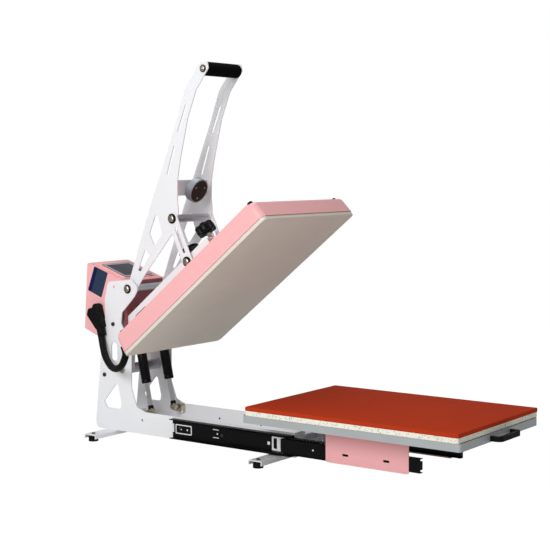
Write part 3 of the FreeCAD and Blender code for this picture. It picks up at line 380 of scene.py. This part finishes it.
def rounded(loop, steps=6):
    """The loop's corners, (x, y) or (x, y, radius), with an arc at each that has a radius."""
    corners = []
    for index, (x, y, *radius) in enumerate(loop):
        here = Vector((x, y))
        if not radius:
            corners.append(here)
            continue
        before = (Vector(loop[index - 1][:2]) - here).normalized()
        after = (Vector(loop[(index + 1) % len(loop)][:2]) - here).normalized()
        half = before.angle(after) / 2
        centre = here + (before + after).normalized() * (radius[0] / math.sin(half))
        reach = radius[0] / math.tan(half)
        start, end = here + before * reach - centre, here + after * reach - centre
        first = math.atan2(start.y, start.x)
        sweep = (math.atan2(end.y, end.x) - first + math.pi) % math.tau - math.pi
        for step in range(steps + 1):
            turn = first + sweep * step / steps
            corners.append(centre + radius[0] * Vector((math.cos(turn), math.sin(turn))))
    return corners


def rectangle(left, right, front, back, *radius):
    corners = [(left, front), (right, front), (right, back), (left, back)]
    return [(*corner, *radius) for corner in corners]


def circle(x, y, radius, steps=28):
    turns = [math.tau * step / steps for step in range(steps)]
    return [(x + radius * math.cos(turn), y + radius * math.sin(turn)) for turn in turns]


class Form:
    """A closed mesh put together from turned and pressed solids, drawn in millimetres."""

    def __init__(self):
        self.mesh = bmesh.new()

    def ring(self, radius, height, place, steps, outline=None):
        """A ring of vertices, or a single one where the radius is 0."""
        if radius == 0:
            return [self.mesh.verts.new(place @ Vector((0.0, 0.0, height)))]
        ring = []
        for step in range(steps):
            turn = math.tau * step / steps
            reach = radius * (outline(turn) if outline else 1.0)
            at = Vector((reach * math.cos(turn), reach * math.sin(turn), height))
            ring.append(self.mesh.verts.new(place @ at))
        return ring

    def band(self, low, high, steps):
        """Faces between two rings, either of which may be a single vertex."""
        for step in range(steps):
            four = (
                low[step % len(low)],
                low[(step + 1) % len(low)],
                high[(step + 1) % len(high)],
                high[step % len(high)],
            )
            self.mesh.faces.new(list(dict.fromkeys(four)))

    def turned(self, rows, place, steps=36, closed=False, outline=None):
        """Rings of (radius, height) in order; a radius of 0 is a pole, and closed makes a tube."""
        rings = [self.ring(*row, place, steps, outline) for row in rows]
        pairs = list(zip(rings, rings[1:]))
        if closed:
            pairs.append((rings[-1], rings[0]))
        for low, high in pairs:
            self.band(low, high, steps)
        if not closed:
            for ring in (rings[0], rings[-1]):
                if len(ring) > 1:
                    self.mesh.faces.new(ring)
        return self

    def rod(self, radius, low, high, place, edge=0.5, steps=32):
        inside = radius - edge
        rows = [(inside, low), (radius, low + edge), (radius, high - edge), (inside, high)]
        return self.turned(rows, place, steps)

    def pressed(self, loops, low, high, place, edge=0.4, fineness=1):
        """A flat form with its holes between two heights, its edges softly rounded."""
        curve = bpy.data.curves.new("pressed", "CURVE")
        curve.dimensions = "2D"
        curve.fill_mode = "BOTH"
        curve.bevel_depth = edge
        curve.bevel_resolution = fineness
        curve.offset = -edge
        curve.extrude = (high - low) / 2 - edge
        for loop in loops:
            corners = rounded(loop)
            spline = curve.splines.new("POLY")
            spline.points.add(len(corners) - 1)
            for point, corner in zip(spline.points, corners):
                point.co = (*corner, 0.0, 1.0)
            spline.use_cyclic_u = True
        mesh = evaluated(linked("pressed", curve))
        mesh.transform(place @ Matrix.Translation((0.0, 0.0, (low + high) / 2)))
        self.mesh.from_mesh(mesh)
        return self

    def add(self, mesh, place):
        mesh.transform(place)
        self.mesh.from_mesh(mesh)
        return self

    def plain(self, name, sharp=35.0):
        """The mesh on its own, merged, facing outwards and smooth up to the sharp angle."""
        bmesh.ops.remove_doubles(self.mesh, verts=self.mesh.verts, dist=MERGE)
        bmesh.ops.dissolve_degenerate(self.mesh, edges=self.mesh.edges, dist=MERGE / 4)
        bmesh.ops.recalc_face_normals(self.mesh, faces=self.mesh.faces)
        data = bpy.data.meshes.new(name)
        self.mesh.to_mesh(data)
        self.mesh.free()
        data.shade_smooth()
        data.set_sharp_from_angle(angle=math.radians(sharp))
        return data

    def piece(self, name, finish, body, *replaced):
        return finish_piece(linked(name, self.plain(name)), finish, body, *replaced)


# Geometry Nodes put one small form at every point of a mesh, turned to face as the point says
def copies_tree():
    tree = bpy.data.node_groups.new("placed_copies", "GeometryNodeTree")
    for name, kind, way in (
        ("Places", "NodeSocketGeometry", "INPUT"),
        ("Form", "NodeSocketObject", "INPUT"),
        ("Size", "NodeSocketFloat", "INPUT"),
        ("Finish", "NodeSocketMaterial", "INPUT"),
        ("Copies", "NodeSocketGeometry", "OUTPUT"),
    ):
        tree.interface.new_socket(name, in_out=way, socket_type=kind)
    start, end = tree.nodes.new("NodeGroupInput"), tree.nodes.new("NodeGroupOutput")
    form = tree.nodes.new("GeometryNodeObjectInfo")
    facing = tree.nodes.new("GeometryNodeInputNamedAttribute")
    facing.data_type = "FLOAT_VECTOR"
    facing.inputs["Name"].default_value = "facing"
    turn = tree.nodes.new("FunctionNodeAlignRotationToVector")
    turn.axis = "Z"
    stand = tree.nodes.new("GeometryNodeInstanceOnPoints")
    real = tree.nodes.new("GeometryNodeRealizeInstances")
    paint = tree.nodes.new("GeometryNodeSetMaterial")
    join = tree.links.new
    join(start.outputs["Form"], form.inputs["Object"])
    join(facing.outputs["Attribute"], turn.inputs["Vector"])
    join(start.outputs["Places"], stand.inputs["Points"])
    join(form.outputs["Geometry"], stand.inputs["Instance"])
    join(turn.outputs["Rotation"], stand.inputs["Rotation"])
    join(start.outputs["Size"], stand.inputs["Scale"])
    join(stand.outputs["Instances"], real.inputs["Geometry"])
    join(real.outputs["Geometry"], paint.inputs["Geometry"])
    join(start.outputs["Finish"], paint.inputs["Material"])
    join(paint.outputs["Geometry"], end.inputs["Copies"])
    return tree


COPIES = copies_tree()


def copies(name, form, size, places, finish, body):
    """One piece of copies of a unit form: the size is in millimetres, and places is a list of
    (point, facing) in metres."""
    points = bpy.data.meshes.new(name)
    points.from_pydata([point for point, _ in places], [], [])
    facing = points.attributes.new("facing", "FLOAT_VECTOR", "POINT")
    for value, (_, way) in zip(facing.data, places):
        value.vector = way
    template = linked(form.name, form)
    made = linked(name, points)
    modifier = made.modifiers.new("copies", "NODES")
    modifier.node_group = COPIES
    items = COPIES.interface.items_tree
    inputs = {item.name: item.identifier for item in items if item.in_out == "INPUT"}
    modifier[inputs["Form"]] = template
    modifier[inputs["Size"]] = size * 0.001
    modifier[inputs["Finish"]] = finishes[finish]
    mesh = evaluated(made)
    mesh.name = name
    bpy.data.objects.remove(template)
    return finish_piece(linked(name, mesh), finish, body)


def hexagon(turn):
    """How far a hexagon's side is at that turn, against its corner."""
    half = math.pi / 6
    return math.cos(half) / math.cos(turn % (2 * half) - half)


def button_head():
    """A screw's domed head with a hexagonal socket, one unit in radius."""
    head = Form()
    steps = 36
    outer = [(0.0, 0.0), (0.94, 0.0), (1.0, 0.06), (1.0, 0.26)]
    outer += [(0.93, 0.42), (0.78, 0.52), (0.56, 0.58), (0.46, 0.58)]
    socket = [(0.42, 0.58), (0.40, 0.54), (0.40, 0.28), (0.0, 0.24)]
    rings = [head.ring(*row, HERE, steps) for row in outer]
    rings += [head.ring(*row, HERE, steps, hexagon) for row in socket]
    for low, high in zip(rings, rings[1:]):
        head.band(low, high, steps)
    return head.plain("button_head", 30.0)


def washer():
    """A flat washer, one unit in radius and a fifth thick."""
    rows = [(0.42, 0.0), (0.97, 0.0), (1.0, 0.03), (1.0, 0.17), (0.97, 0.2), (0.42, 0.2)]
    return Form().turned(rows, HERE, 40, closed=True).plain("washer", 30.0)


def ball():
    rows = [(math.sin(math.pi * k / 8), -math.cos(math.pi * k / 8)) for k in range(1, 8)]
    return Form().turned([(0, -1.0), *rows, (0, 1.0)], HERE, 14).plain("ball", 60.0)


def both_sides(x, y, z):
    """Places on both sides of the press, facing outwards."""
    return [(DRAWING @ Vector((side * x, y, z)), (side, 0.0, 0.0)) for side in (-1.0, 1.0)]


# Soft pieces
PAD_HALF, PAD_LENGTH, PAD_THICK = 200, 600, 10
pad_loop = rectangle(-PAD_HALF, PAD_HALF, -PAD_LENGTH, 0, 4)
pad = Form().pressed([pad_loop], -PAD_THICK, 0, DRAWING, edge=1.5, fineness=3)
pad.piece("red_pad", "pad_red", "drawer", "silicone_pad")

grip = Form()
foam_rim = [(8.2, 69.2), (16.4, 69.2), (17.7, 68.5), (18.4, 67.0), (18.5, 65.0)]
foam_tube = [(radius, -x) for radius, x in foam_rim] + [(18.5, 0.0)] + foam_rim[::-1]
grip.turned(foam_tube, outward(1, *GRIP), 48, closed=True)
grip.piece("foam_grip", "foam", "handle", "handle_grip")

SPACER_X, SPACERS_ALONG = 48, (50, 315)  # the heat plate's spacers go through the wool
wool_holes = [circle(x, -along, 7) for x in (-SPACER_X, SPACER_X) for along in SPACERS_ALONG]
wool = Form().pressed([rectangle(-186, 186, -578, -12, 6), *wool_holes], 10.1, 38, PLATEN, edge=1.5)
wool.piece("wool_mat", "wool", "platen", "insulation")


# Platen: the pressed cover with its sloped ends, its caps and the heat plate
COVER_TOP = 60.0  # over the heat plate's face
SCREW_ALONG = 293.0  # from the platen's rear edge
CORNER_ROUND, TOP_ROUND = 17.0, 11.0
NEAR = 0.01  # a vertex this close to a height is on it


def cover_block():
    low, high, slope = 10.4, COVER_TOP, 5.5
    ends = [(-594.0, low), (10.0, low), (10.0 - slope, high), (-594.0 + slope, high)]
    block = Form()
    left = [block.mesh.verts.new((-200.0, y, z)) for y, z in ends]
    right = [block.mesh.verts.new((200.0, y, z)) for y, z in ends]
    for index in range(4):
        after = (index + 1) % 4
        block.mesh.faces.new((left[index], left[after], right[after], right[index]))
    block.mesh.faces.new(left)
    block.mesh.faces.new(right)
    for radius, ends_at_top in ((CORNER_ROUND, 1), (TOP_ROUND, 2)):
        edges = []
        for edge in block.mesh.edges:
            if sum(vertex.co.z > high - NEAR for vertex in edge.verts) == ends_at_top:
                edges.append(edge)
        bmesh.ops.bevel(
            block.mesh, geom=edges, offset=radius, segments=6, profile=0.5, affect="EDGES"
        )
    bmesh.ops.recalc_face_normals(block.mesh, faces=block.mesh.faces)
    floor_faces = [
        face for face in block.mesh.faces if all(v.co.z < low + NEAR for v in face.verts)
    ]
    bmesh.ops.delete(block.mesh, geom=floor_faces, context="FACES")
    return block.plain("cover_block")


cover = linked("cover", cover_block())
wall = cover.modifiers.new("wall", "SOLIDIFY")
wall.thickness, wall.offset, wall.use_even_offset = 2.0, -1.0, True
openings = Form()
for along in (SCREW_ALONG, 60, 140):
    openings.rod(9, 40, 80, Matrix.Translation((0.0, -along, 0.0)))
cutter = linked("openings", openings.plain("openings"))
cut = cover.modifiers.new("openings", "BOOLEAN")
cut.object, cut.operation, cut.solver = cutter, "DIFFERENCE", "EXACT"
cover_shell = Form().add(evaluated(cover), PLATEN)
bpy.data.objects.remove(cutter)
cover_shell.piece("cover_shell", "pink_steel", "platen", "platen_cover")

caps = Form()
for x in (-181.5, 181.5):
    for along in (14, 570):
        place = PLATEN @ Matrix.Translation((x, -along, COVER_TOP))
        caps.turned([(6.8, 0), (7.5, 0.6), (7.5, 5.5), (6.9, 7.2), (5.2, 8), (0, 8)], place, 28)
caps.piece("cover_plugs", "black_plastic", "platen", "cover_caps")

plate = Form().pressed([rectangle(-198.5, 198.5, -592, 8, 13)], 0, 10, PLATEN, edge=1.2, fineness=2)
plate.piece("heat_face", "hot_aluminium", "platen", "heat_plate")


# Pressure adjuster: a knob with finger hollows over a threaded rod
HOLLOWS = 6
HOLLOW_AT, HOLLOW_RADIUS, HOLLOW_SHARE = 1.12, 0.36, 0.95  # against the knob's radius


def hollowed(turn):
    """The knob's radius at that turn, against its largest."""
    half = math.pi / HOLLOWS
    turn = (turn + half) % (2 * half) - half
    off = HOLLOW_AT * math.sin(turn)
    if abs(off) > HOLLOW_RADIUS:
        return 1.0
    depth = math.sqrt(HOLLOW_RADIUS**2 - off**2) * HOLLOW_SHARE
    return min(1.0, HOLLOW_AT * math.cos(turn) - depth)


SCREW = PLATEN @ Matrix.Translation((0.0, -SCREW_ALONG, 0.0))
knob = Form()
knob.turned(
    [(24.5, 176), (27, 177), (28, 179.5), (28, 196), (27, 199), (24.5, 200.6), (0, 201)],
    SCREW,
    120,
    outline=hollowed,
)
knob.turned([(12, 172.4), (14, 173.4), (14, 176.4)], SCREW, 40)
knob.piece("finger_knob", "knob_black", "pressure_screw_and_knob", "pressure_knob")
THREAD_LOW, THREAD_HIGH, PITCH = 70.0, 172.0, 2.0
thread = [(5.9, 44.1)]
for turn in range(int((THREAD_HIGH - THREAD_LOW) / PITCH)):
    crest = THREAD_LOW + turn * PITCH
    thread += [(6.0, crest), (5.1, crest + PITCH / 2)]
thread += [(6.0, THREAD_HIGH), (6.0, 174.0)]
Form().turned(thread, SCREW, 24).piece(
    "threaded_rod", "bolt_steel", "pressure_screw_and_knob", "pressure_screw"
)

# Holding magnet: a steel pot with a dark face, on its strap between the handle plates
pot = Form()
pot.turned([(30.5, 0.2), (30.5, 0), (33, 0), (34, 1), (34, 19.5), (32.5, 21), (0, 21)], MAGNET, 64)
pot.turned([(15, 21), (15, 23), (14, 23.6), (0, 23.6)], MAGNET, 40)
pot.piece("magnet_pot", "magnet_steel", "handle", "electromagnet")
Form().turned([(30.4, 0.2), (30.4, -0.4), (29.8, -0.6), (0, -0.6)], MAGNET, 64).piece(
    "magnet_dark_face", "magnet_brown", "handle", "magnet_face"
)
STRAP = DRAWING @ Matrix.Translation((0.0, *MAGNET_MIDDLE))
strap = Form().pressed([rectangle(-69.4, 69.4, -11, 31, 3)], 29, 33, STRAP @ BACK_TURN)
strap_side = [(29, -11), (51, -11, 3), (51, 31, 3), (29, 31)]
for low in (-69.4, 66.4):
    strap.pressed([strap_side], low, low + 3, STRAP @ SIDE_TURN)
strap.piece("magnet_strap", "white_steel", "handle", "magnet_bracket")
stud = Form().rod(8, 23.6, 31, MAGNET, steps=6)
stud.piece("magnet_stud", "bolt_steel", "handle", "magnet_fasteners")
SCREW_CIRCLE, SCREW_SUNK = 20.0, 1.7
screw_turns = [math.radians(90 + 120 * step) for step in range(3)]
screw_places = [
    Vector((SCREW_CIRCLE * math.cos(turn), SCREW_CIRCLE * math.sin(turn), SCREW_SUNK))
    for turn in screw_turns
]
from_face = MAGNET.to_3x3() @ Vector((0.0, 0.0, -1.0))
copies(
    "magnet_screws",
    button_head(),
    4.2,
    [(MAGNET @ place, from_face) for place in screw_places],
    "bolt_steel",
    "handle",
)

# Links: slotted bars outside the handle plates
run = math.dist(TOP_PIN, LOW_PIN)
lean = math.atan2(TOP_PIN[0] - LOW_PIN[0], TOP_PIN[1] - LOW_PIN[1])
LINK = tilted(TOP_PIN, -lean) @ SIDE_TURN
bars = Form()
for low in (-77.2, 73.2):
    bar = rectangle(-17, 17, -run - 17, 17, 16.9)
    slot = rectangle(-4, 4, 24 - run, -24, 3.9)
    bars.pressed([bar, slot], low, low + 4, LINK, edge=0.6, fineness=2)
bars.piece("link_bars", "white_steel", "link_pair", "links")

# Pins, washers and bolt heads of every pivot
pins_top, pins_low, shafts, grip_core = Form(), Form(), Form(), Form()
for side in (-1, 1):
    pins_top.rod(5, 72.8, 80, outward(side, *TOP_PIN))
    pins_low.rod(5, 55, 80, outward(side, *LOW_PIN))
    pins_low.rod(8, 65.1, 73.1, outward(side, *LOW_PIN))
shafts.rod(6, -86.6, 86.6, outward(1, *EAR_PIN))
shafts.rod(5, -85, 85, outward(1, *ARM_SHAFT)).rod(8, -81.4, 81.4, outward(1, *ARM_SHAFT))
grip_core.rod(8, -69.4, 69.4, outward(1, *GRIP)).rod(4, -74, 74, outward(1, *GRIP))
pins_top.piece("top_pins", "bolt_steel", "link_pair", "link_pins_top")
pins_low.piece("low_pins", "bolt_steel", "arm", "link_pins_low")
shafts.piece("shafts", "bolt_steel", "base", "pivot_shafts")
grip_core.piece("grip_core", "bolt_steel", "handle", "grip_rod")
for name, body, places, radius in (
    ("ear_washers", "base", both_sides(84.5, *EAR_PIN), 12.5),
    ("top_washers", "link_pair", both_sides(77.2, *TOP_PIN), 13.5),
    ("low_washers", "arm", both_sides(77.3, *LOW_PIN), 13.5),
    ("grip_washers", "handle", both_sides(72.5, *GRIP), 10.0),
):
    copies(name, washer(), radius, places, "washer_black", body)
for name, body, places, radius in (
    ("ear_heads", "base", both_sides(87.0, *EAR_PIN), 9.0),
    ("shaft_heads", "base", both_sides(84.5, *ARM_SHAFT), 10.0),
    ("top_heads", "link_pair", both_sides(79.9, *TOP_PIN), 9.0),
    ("low_heads", "arm", both_sides(80.0, *LOW_PIN), 9.0),
    ("grip_heads", "handle", both_sides(74.5, *GRIP), 7.5),
):
    copies(name, button_head(), radius, places, "bolt_steel", body)

# Gas springs: black cylinders with rolled rings, bright rods with short black ends, bright feet
spring_run = math.hypot(*SPRING_FALL)
SPRING_X = 47.0
ACROSS = Matrix.Rotation(math.pi / 2, 4, "Y")
tubes, rods, eyes, feet = Form(), Form(), Form(), Form()
for x in (-SPRING_X, SPRING_X):
    place = GAS_SPRING @ Matrix.Translation((x, 0.0, 0.0))
    tubes.turned(
        [
            (6.5, -140), (11.5, -140), (13, -139), (13.5, -137), (13.5, -131), (12.6, -129.5),
            (13.5, -128), (13.5, -26), (12.7, -24.5), (13.5, -23), (13.5, -17), (12.5, -14.5),
            (9, -13.6), (7, -12), (7, -5), (0, -5),
        ],
        place,
        40,
    )
    eye = [(4.05, -6), (9.6, -6), (10, -5.5), (10, 5.5), (9.6, 6), (4.05, 6)]
    tubes.turned(eye, place @ ACROSS, 32, closed=True)
    rods.rod(6.3, 16 - spring_run, -66, place, steps=36)
    eyes.rod(8, 4 - spring_run, 16 - spring_run, place, edge=1.5)
    foot = place @ Matrix.Translation((0.0, 0.0, -spring_run)) @ ACROSS
    feet.rod(10, -7, 7, foot, edge=1.0)
    pin = (-14.2, -4.0) if x < 0 else (4.0, 14.2)
    feet.rod(4, *pin, foot)
tubes.piece("spring_tubes", "spring_black", "gas_cylinder_pair", "gas_cylinders")
rods.piece("spring_rods", "chrome_rod", "gas_rod_pair", "gas_rods")
eyes.piece("spring_eyes", "spring_black", "gas_rod_pair")
feet.piece("spring_feet", "bolt_steel", "gas_rod_pair")

# Cable gland on the box's side, with a collar that narrows to the sleeve
SLEEVE_LEAN = math.atan2(595.2 - 562.0, 147.2 - 65.0)  # off upright, where it leaves the gland
gland_outline = [
    (579.6, 152), (602.4, 142.8), (637.7, 181.6, 9), (631.5, 201, 9), (617.4, 201.8),
    (610.4, 217.2, 9), (595.6, 212.4, 9),
]
gland = Form().pressed([gland_outline], -106.5, -81.6, SIDEWAYS, edge=4.5, fineness=4)
gland.pressed([rectangle(601, 625, 176, 198, 3)], -82, -79.6, SIDEWAYS)
collar = [(9.6, 6), (12.6, 4), (12.6, 0), (11.4, -14), (10.2, -26), (9.6, -27)]
gland.turned(collar, tilted((594.6, 151.0), -SLEEVE_LEAN, x=-95.0), 32, closed=True)
gland.piece("cable_boot", "black_rubber", "base", "cable_gland")

# The box's front: a pink sheet on its panel, and on the wall below a deeper pink sheet, which is
# painted shade standing for the wall's shadow
Form().pressed([rectangle(-66, 66, 14, 134, 8)], 0, 3.6, PANEL).piece(
    "panel_sheet", "pink_steel", "base", "control_panel"
)
# painted shade: a thin deeper-pink sheet laid over the front wall where it lies in shadow
front_wall_painted_shade = Form()
front_wall_painted_shade.pressed([rectangle(-80, 80, 110, 279)], 514.2, 514.9, DRAWING @ BACK_TURN, edge=0.2)
front_wall_painted_shade.piece("box_front_sheet", "painted_shade_pink", "base")

# Display: a dark window in a pale frame with a darker line round it, and a dot below
frame_loop, window_loop = rectangle(-56, 56, 19, 112, 4), rectangle(-48, 48, 25.5, 105, 2)
line_loop = rectangle(-57.5, 57.5, 17.5, 113.5, 5)
Form().pressed([window_loop], 3, 4.3, PANEL).piece(
    "display", "dark_window", "base", "panel_window"
)
Form().pressed([frame_loop, window_loop], 3.5, 4.9, PANEL).piece(
    "display_frame", "frame_grey", "base"
)
Form().pressed([line_loop, frame_loop], 3.5, 4.6, PANEL, edge=0.2).piece(
    "display_line", "black_plastic", "base"
)
Form().rod(2.2, 3, 4.5, PANEL @ Matrix.Translation((40.0, 9.0, 0.0))).piece(
    "panel_dot", "black_plastic", "base"
)

# A blank plate on the box's near side, with a darker band
plate_loop = [(625, 317.8, 3), (574, 301, 3), (600, 230.6, 3), (652, 249.5, 3)]
band_loop = [(625, 317.8, 3), (612.6, 313.7), (639.3, 244.9), (652, 249.5, 3)]
Form().pressed([plate_loop], -82.2, -81.5, SIDEWAYS, edge=0.2).piece(
    "side_sheet", "navy_sheet", "base"
)
Form().pressed([band_loop], -82.5, -81.9, SIDEWAYS, edge=0.15).piece(
    "side_sheet_band", "navy_band", "base"
)

# Slides: white plastic parts on the outer and middle members, and their balls
OUTER_FACE, MIDDLE_FACE = -86.5, -89.9  # where the parts on these members start
details = Form()
bracket_loops = [rectangle(268, 325, -123, -97, 3), rectangle(271, 322, -120, -100, 2)]
details.pressed(bracket_loops, -88.2, OUTER_FACE, SIDEWAYS, edge=0.3)
details.pressed([rectangle(330, 336, -120, -97, 1)], -88.2, OUTER_FACE, SIDEWAYS)
for loop in (
    rectangle(175, 195, -98.4, -96.4, 0.8),
    rectangle(175, 195, -119.8, -117.8, 0.8),
    circle(180, -108, 2.4, 16),
    circle(284, -110, 2.4, 16),
    circle(306, -110, 2.4, 16),
):
    details.pressed([loop], -87.4, OUTER_FACE, SIDEWAYS, edge=0.2)
details.piece("outer_fittings", "white_plastic", "base")
latch = Form()
latch_loops = [rectangle(-46, -3, -128.6, -90.4, 3), rectangle(-41, -8, -123, -96, 3)]
latch.pressed(latch_loops, -91.8, MIDDLE_FACE, SIDEWAYS, edge=0.5)
for loop in (rectangle(-30, -19, -123.5, -95.5, 1), rectangle(3.4, 11.4, -115, -107, 1)):
    latch.pressed([loop], -91.6, MIDDLE_FACE, SIDEWAYS, edge=0.3)
latch.piece("middle_fittings", "white_plastic", "slide_middle_pair")
Form().rod(2.4, 104, 104.8, outward(-1, -139.7, -109.5), edge=0.2, steps=20).piece(
    "inner_rivet", "white_plastic", "drawer"
)
copies(
    "slide_balls",
    ball(),
    1.3,
    [
        (DRAWING @ Vector((side * 97.0, y, z)), (0.0, 0.0, 1.0))
        for side in (-1, 1)
        for z in (-90.55, -128.45)
        for y in range(-170, -59, 9)
    ],
    "bolt_steel",
    "slide_middle_pair",
)

# The cable's route, through points on its middle line: down from its gland, round a low bend on the
# left of the tower and up behind the platen's lower corner
CABLE_POINTS = [
    (-95.6, 595.2, 147.2),
    (-95.8, 588.5, 118.0),
    (-98.5, 581.0, 96.0),
    (-105.0, 569.0, 77.0),
    (-115.0, 549.0, 60.5),
    (-130.0, 519.0, 47.5),
    (-148.0, 484.0, 47.0),
    (-166.0, 449.0, 59.0),
    (-178.0, 426.0, 78.0),
    (-184.0, 414.0, 98.0),
    (-184.0, 420.3, 117.8),
]
CABLE_RADIUS = 9.5


def smooth_route(points, steps=8):
    """Points on a Catmull-Rom curve through the given ones, as they are drawn."""
    path = [Vector(point) for point in points]
    ends = [2 * path[0] - path[1], *path, 2 * path[-1] - path[-2]]
    route = []
    for first, start, end, last in zip(ends, ends[1:], ends[2:], ends[3:]):
        for step in range(steps):
            t = step / steps
            route.append(
                start
                + 0.5 * t * (end - first)
                + t * t * (first - 2.5 * start + 2 * end - 0.5 * last)
                + t * t * t * 0.5 * (3 * start - first - 3 * end + last)
            )
    return [*route, path[-1]]


def route_curve(name, route, radius):
    curve = bpy.data.curves.new(name, "CURVE")
    curve.dimensions = "3D"
    spline = curve.splines.new("POLY")
    spline.points.add(len(route) - 1)
    for point, at in zip(spline.points, route):
        point.co = (*at, 1.0)
    curve.bevel_depth = radius
    curve.bevel_resolution = 8
    curve.use_fill_caps = True
    return linked(name, curve)


route = [DRAWING @ point for point in smooth_route(CABLE_POINTS)]
cable_length = sum((b - a).length for a, b in zip(route, route[1:]))
sleeve_mesh = evaluated(route_curve("sleeve", route, CABLE_RADIUS / 1000))
sleeve = linked("platen_cable_sleeve", sleeve_mesh)
cable = finish_piece(sleeve, "black_rubber", None, "platen_cable")
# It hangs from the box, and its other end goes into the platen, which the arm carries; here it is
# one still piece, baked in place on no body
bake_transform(cable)

# Camera, at the photograph's angle
YAW, DIP, ROLL = math.radians(36.77), math.radians(-4.56), math.radians(-0.38)
CAMERA_PLACE = (-2.7350, -2.01255, 0.7442)
FOCAL_PIXELS, PHOTO_PIXELS = 1314.8, 550.0
SENSOR = 36.0  # millimetres
CLIP_END = 200.0
flat = math.cos(DIP)
forward = Vector((flat * math.cos(YAW), flat * math.sin(YAW), math.sin(DIP)))
level = forward.cross(Vector((0.0, 0.0, 1.0))).normalized()
upward = level.cross(forward)
right = math.cos(ROLL) * level + math.sin(ROLL) * upward
up = -math.sin(ROLL) * level + math.cos(ROLL) * upward
lens = bpy.data.cameras.new("camera")
lens.sensor_width = SENSOR
lens.lens = SENSOR * FOCAL_PIXELS / PHOTO_PIXELS
lens.clip_end = CLIP_END
camera = linked("camera", lens)
camera.matrix_world = Matrix.Translation(CAMERA_PLACE) @ Matrix(
    (
        (right.x, up.x, -forward.x),
        (right.y, up.y, -forward.y),
        (right.z, up.z, -forward.z),
    )
).to_4x4()
bpy.context.scene.camera = camera

# Floor, world and studio light
WHITE = (1.0, 1.0, 1.0)
GROUND_WHITE = 1.05  # with the ground's share of shadow, its open part is just white
REFLECTED = 0.3  # how bright the room is in a reflection
SHINE = 0.34  # how bright it is as a light
REACH = 60.0  # half the floor's width, in metres


def pale_ground(name, share):
    """A ground that the camera sees as white but for a trace of shadow, and reflections as grey."""
    ground = Finish(name)
    seen = ground.node("ShaderNodeLightPath", out="Is Camera Ray")
    glossy = ground.node("ShaderNodeLightPath", out="Is Glossy Ray")
    diffuse = ground.node("ShaderNodeBsdfDiffuse", None, {"Color": (0.9, 0.9, 0.9)})
    glow = ground.node("ShaderNodeEmission", None, {"Color": WHITE, "Strength": GROUND_WHITE})
    dim = ground.node("ShaderNodeEmission", None, {"Color": WHITE, "Strength": REFLECTED})
    plain = ground.node("ShaderNodeMixShader", None, {0: seen * share, 1: diffuse, 2: glow})
    mix = ground.node("ShaderNodeMixShader", None, {0: glossy, 1: plain, 2: dim})
    ground.node("ShaderNodeOutputMaterial", None, {"Surface": mix})
    return ground.material


floor_mesh = bpy.data.meshes.new("floor")
floor_mesh.from_pydata(
    [(-REACH, -REACH, 0.0), (REACH, -REACH, 0.0), (REACH, REACH, 0.0), (-REACH, REACH, 0.0)],
    [],
    [(0, 1, 2, 3)],
)
floor = linked("floor", floor_mesh)
floor.data.materials.append(pale_ground("pale_floor", share=0.95))

world = bpy.data.worlds.new("studio")
bpy.context.scene.world = world
world.use_nodes = True
sky = world.node_tree
sky.nodes.clear()
paths = sky.nodes.new("ShaderNodeLightPath")


def backdrop(strength):
    made = sky.nodes.new("ShaderNodeBackground")
    made.inputs["Color"].default_value = (*WHITE, 1.0)
    made.inputs["Strength"].default_value = strength
    return made


def blended(ray, first, second):
    """The second look where the ray is of that kind, and the first elsewhere."""
    made = sky.nodes.new("ShaderNodeMixShader")
    sky.links.new(paths.outputs[ray], made.inputs[0])
    sky.links.new(first.outputs[0], made.inputs[1])
    sky.links.new(second.outputs[0], made.inputs[2])
    return made


around = blended("Is Glossy Ray", backdrop(SHINE), backdrop(REFLECTED))
around = blended("Is Camera Ray", around, backdrop(1.0))
sky_out = sky.nodes.new("ShaderNodeOutputWorld")
sky.links.new(around.outputs[0], sky_out.inputs["Surface"])


def soft_light(name, place, aim, size, power):
    lamp = bpy.data.lights.new(name, "AREA")
    lamp.shape = "RECTANGLE"
    lamp.size, lamp.size_y = size
    lamp.energy = power
    made = linked(name, lamp)
    made.location = place
    made.rotation_euler = (Vector(aim) - Vector(place)).to_track_quat("-Z", "Y").to_euler()


soft_light("key_left", (-3.1, -0.2, 1.55), aim=(0.0, 0.0, 0.4), size=(1.3, 1.3), power=56.0)
soft_light("overhead", (0.1, 0.4, 2.6), aim=(0.0, 0.0, 0.3), size=(1.8, 1.8), power=18.0)

scene = bpy.context.scene
scene.view_settings.view_transform = "Standard"
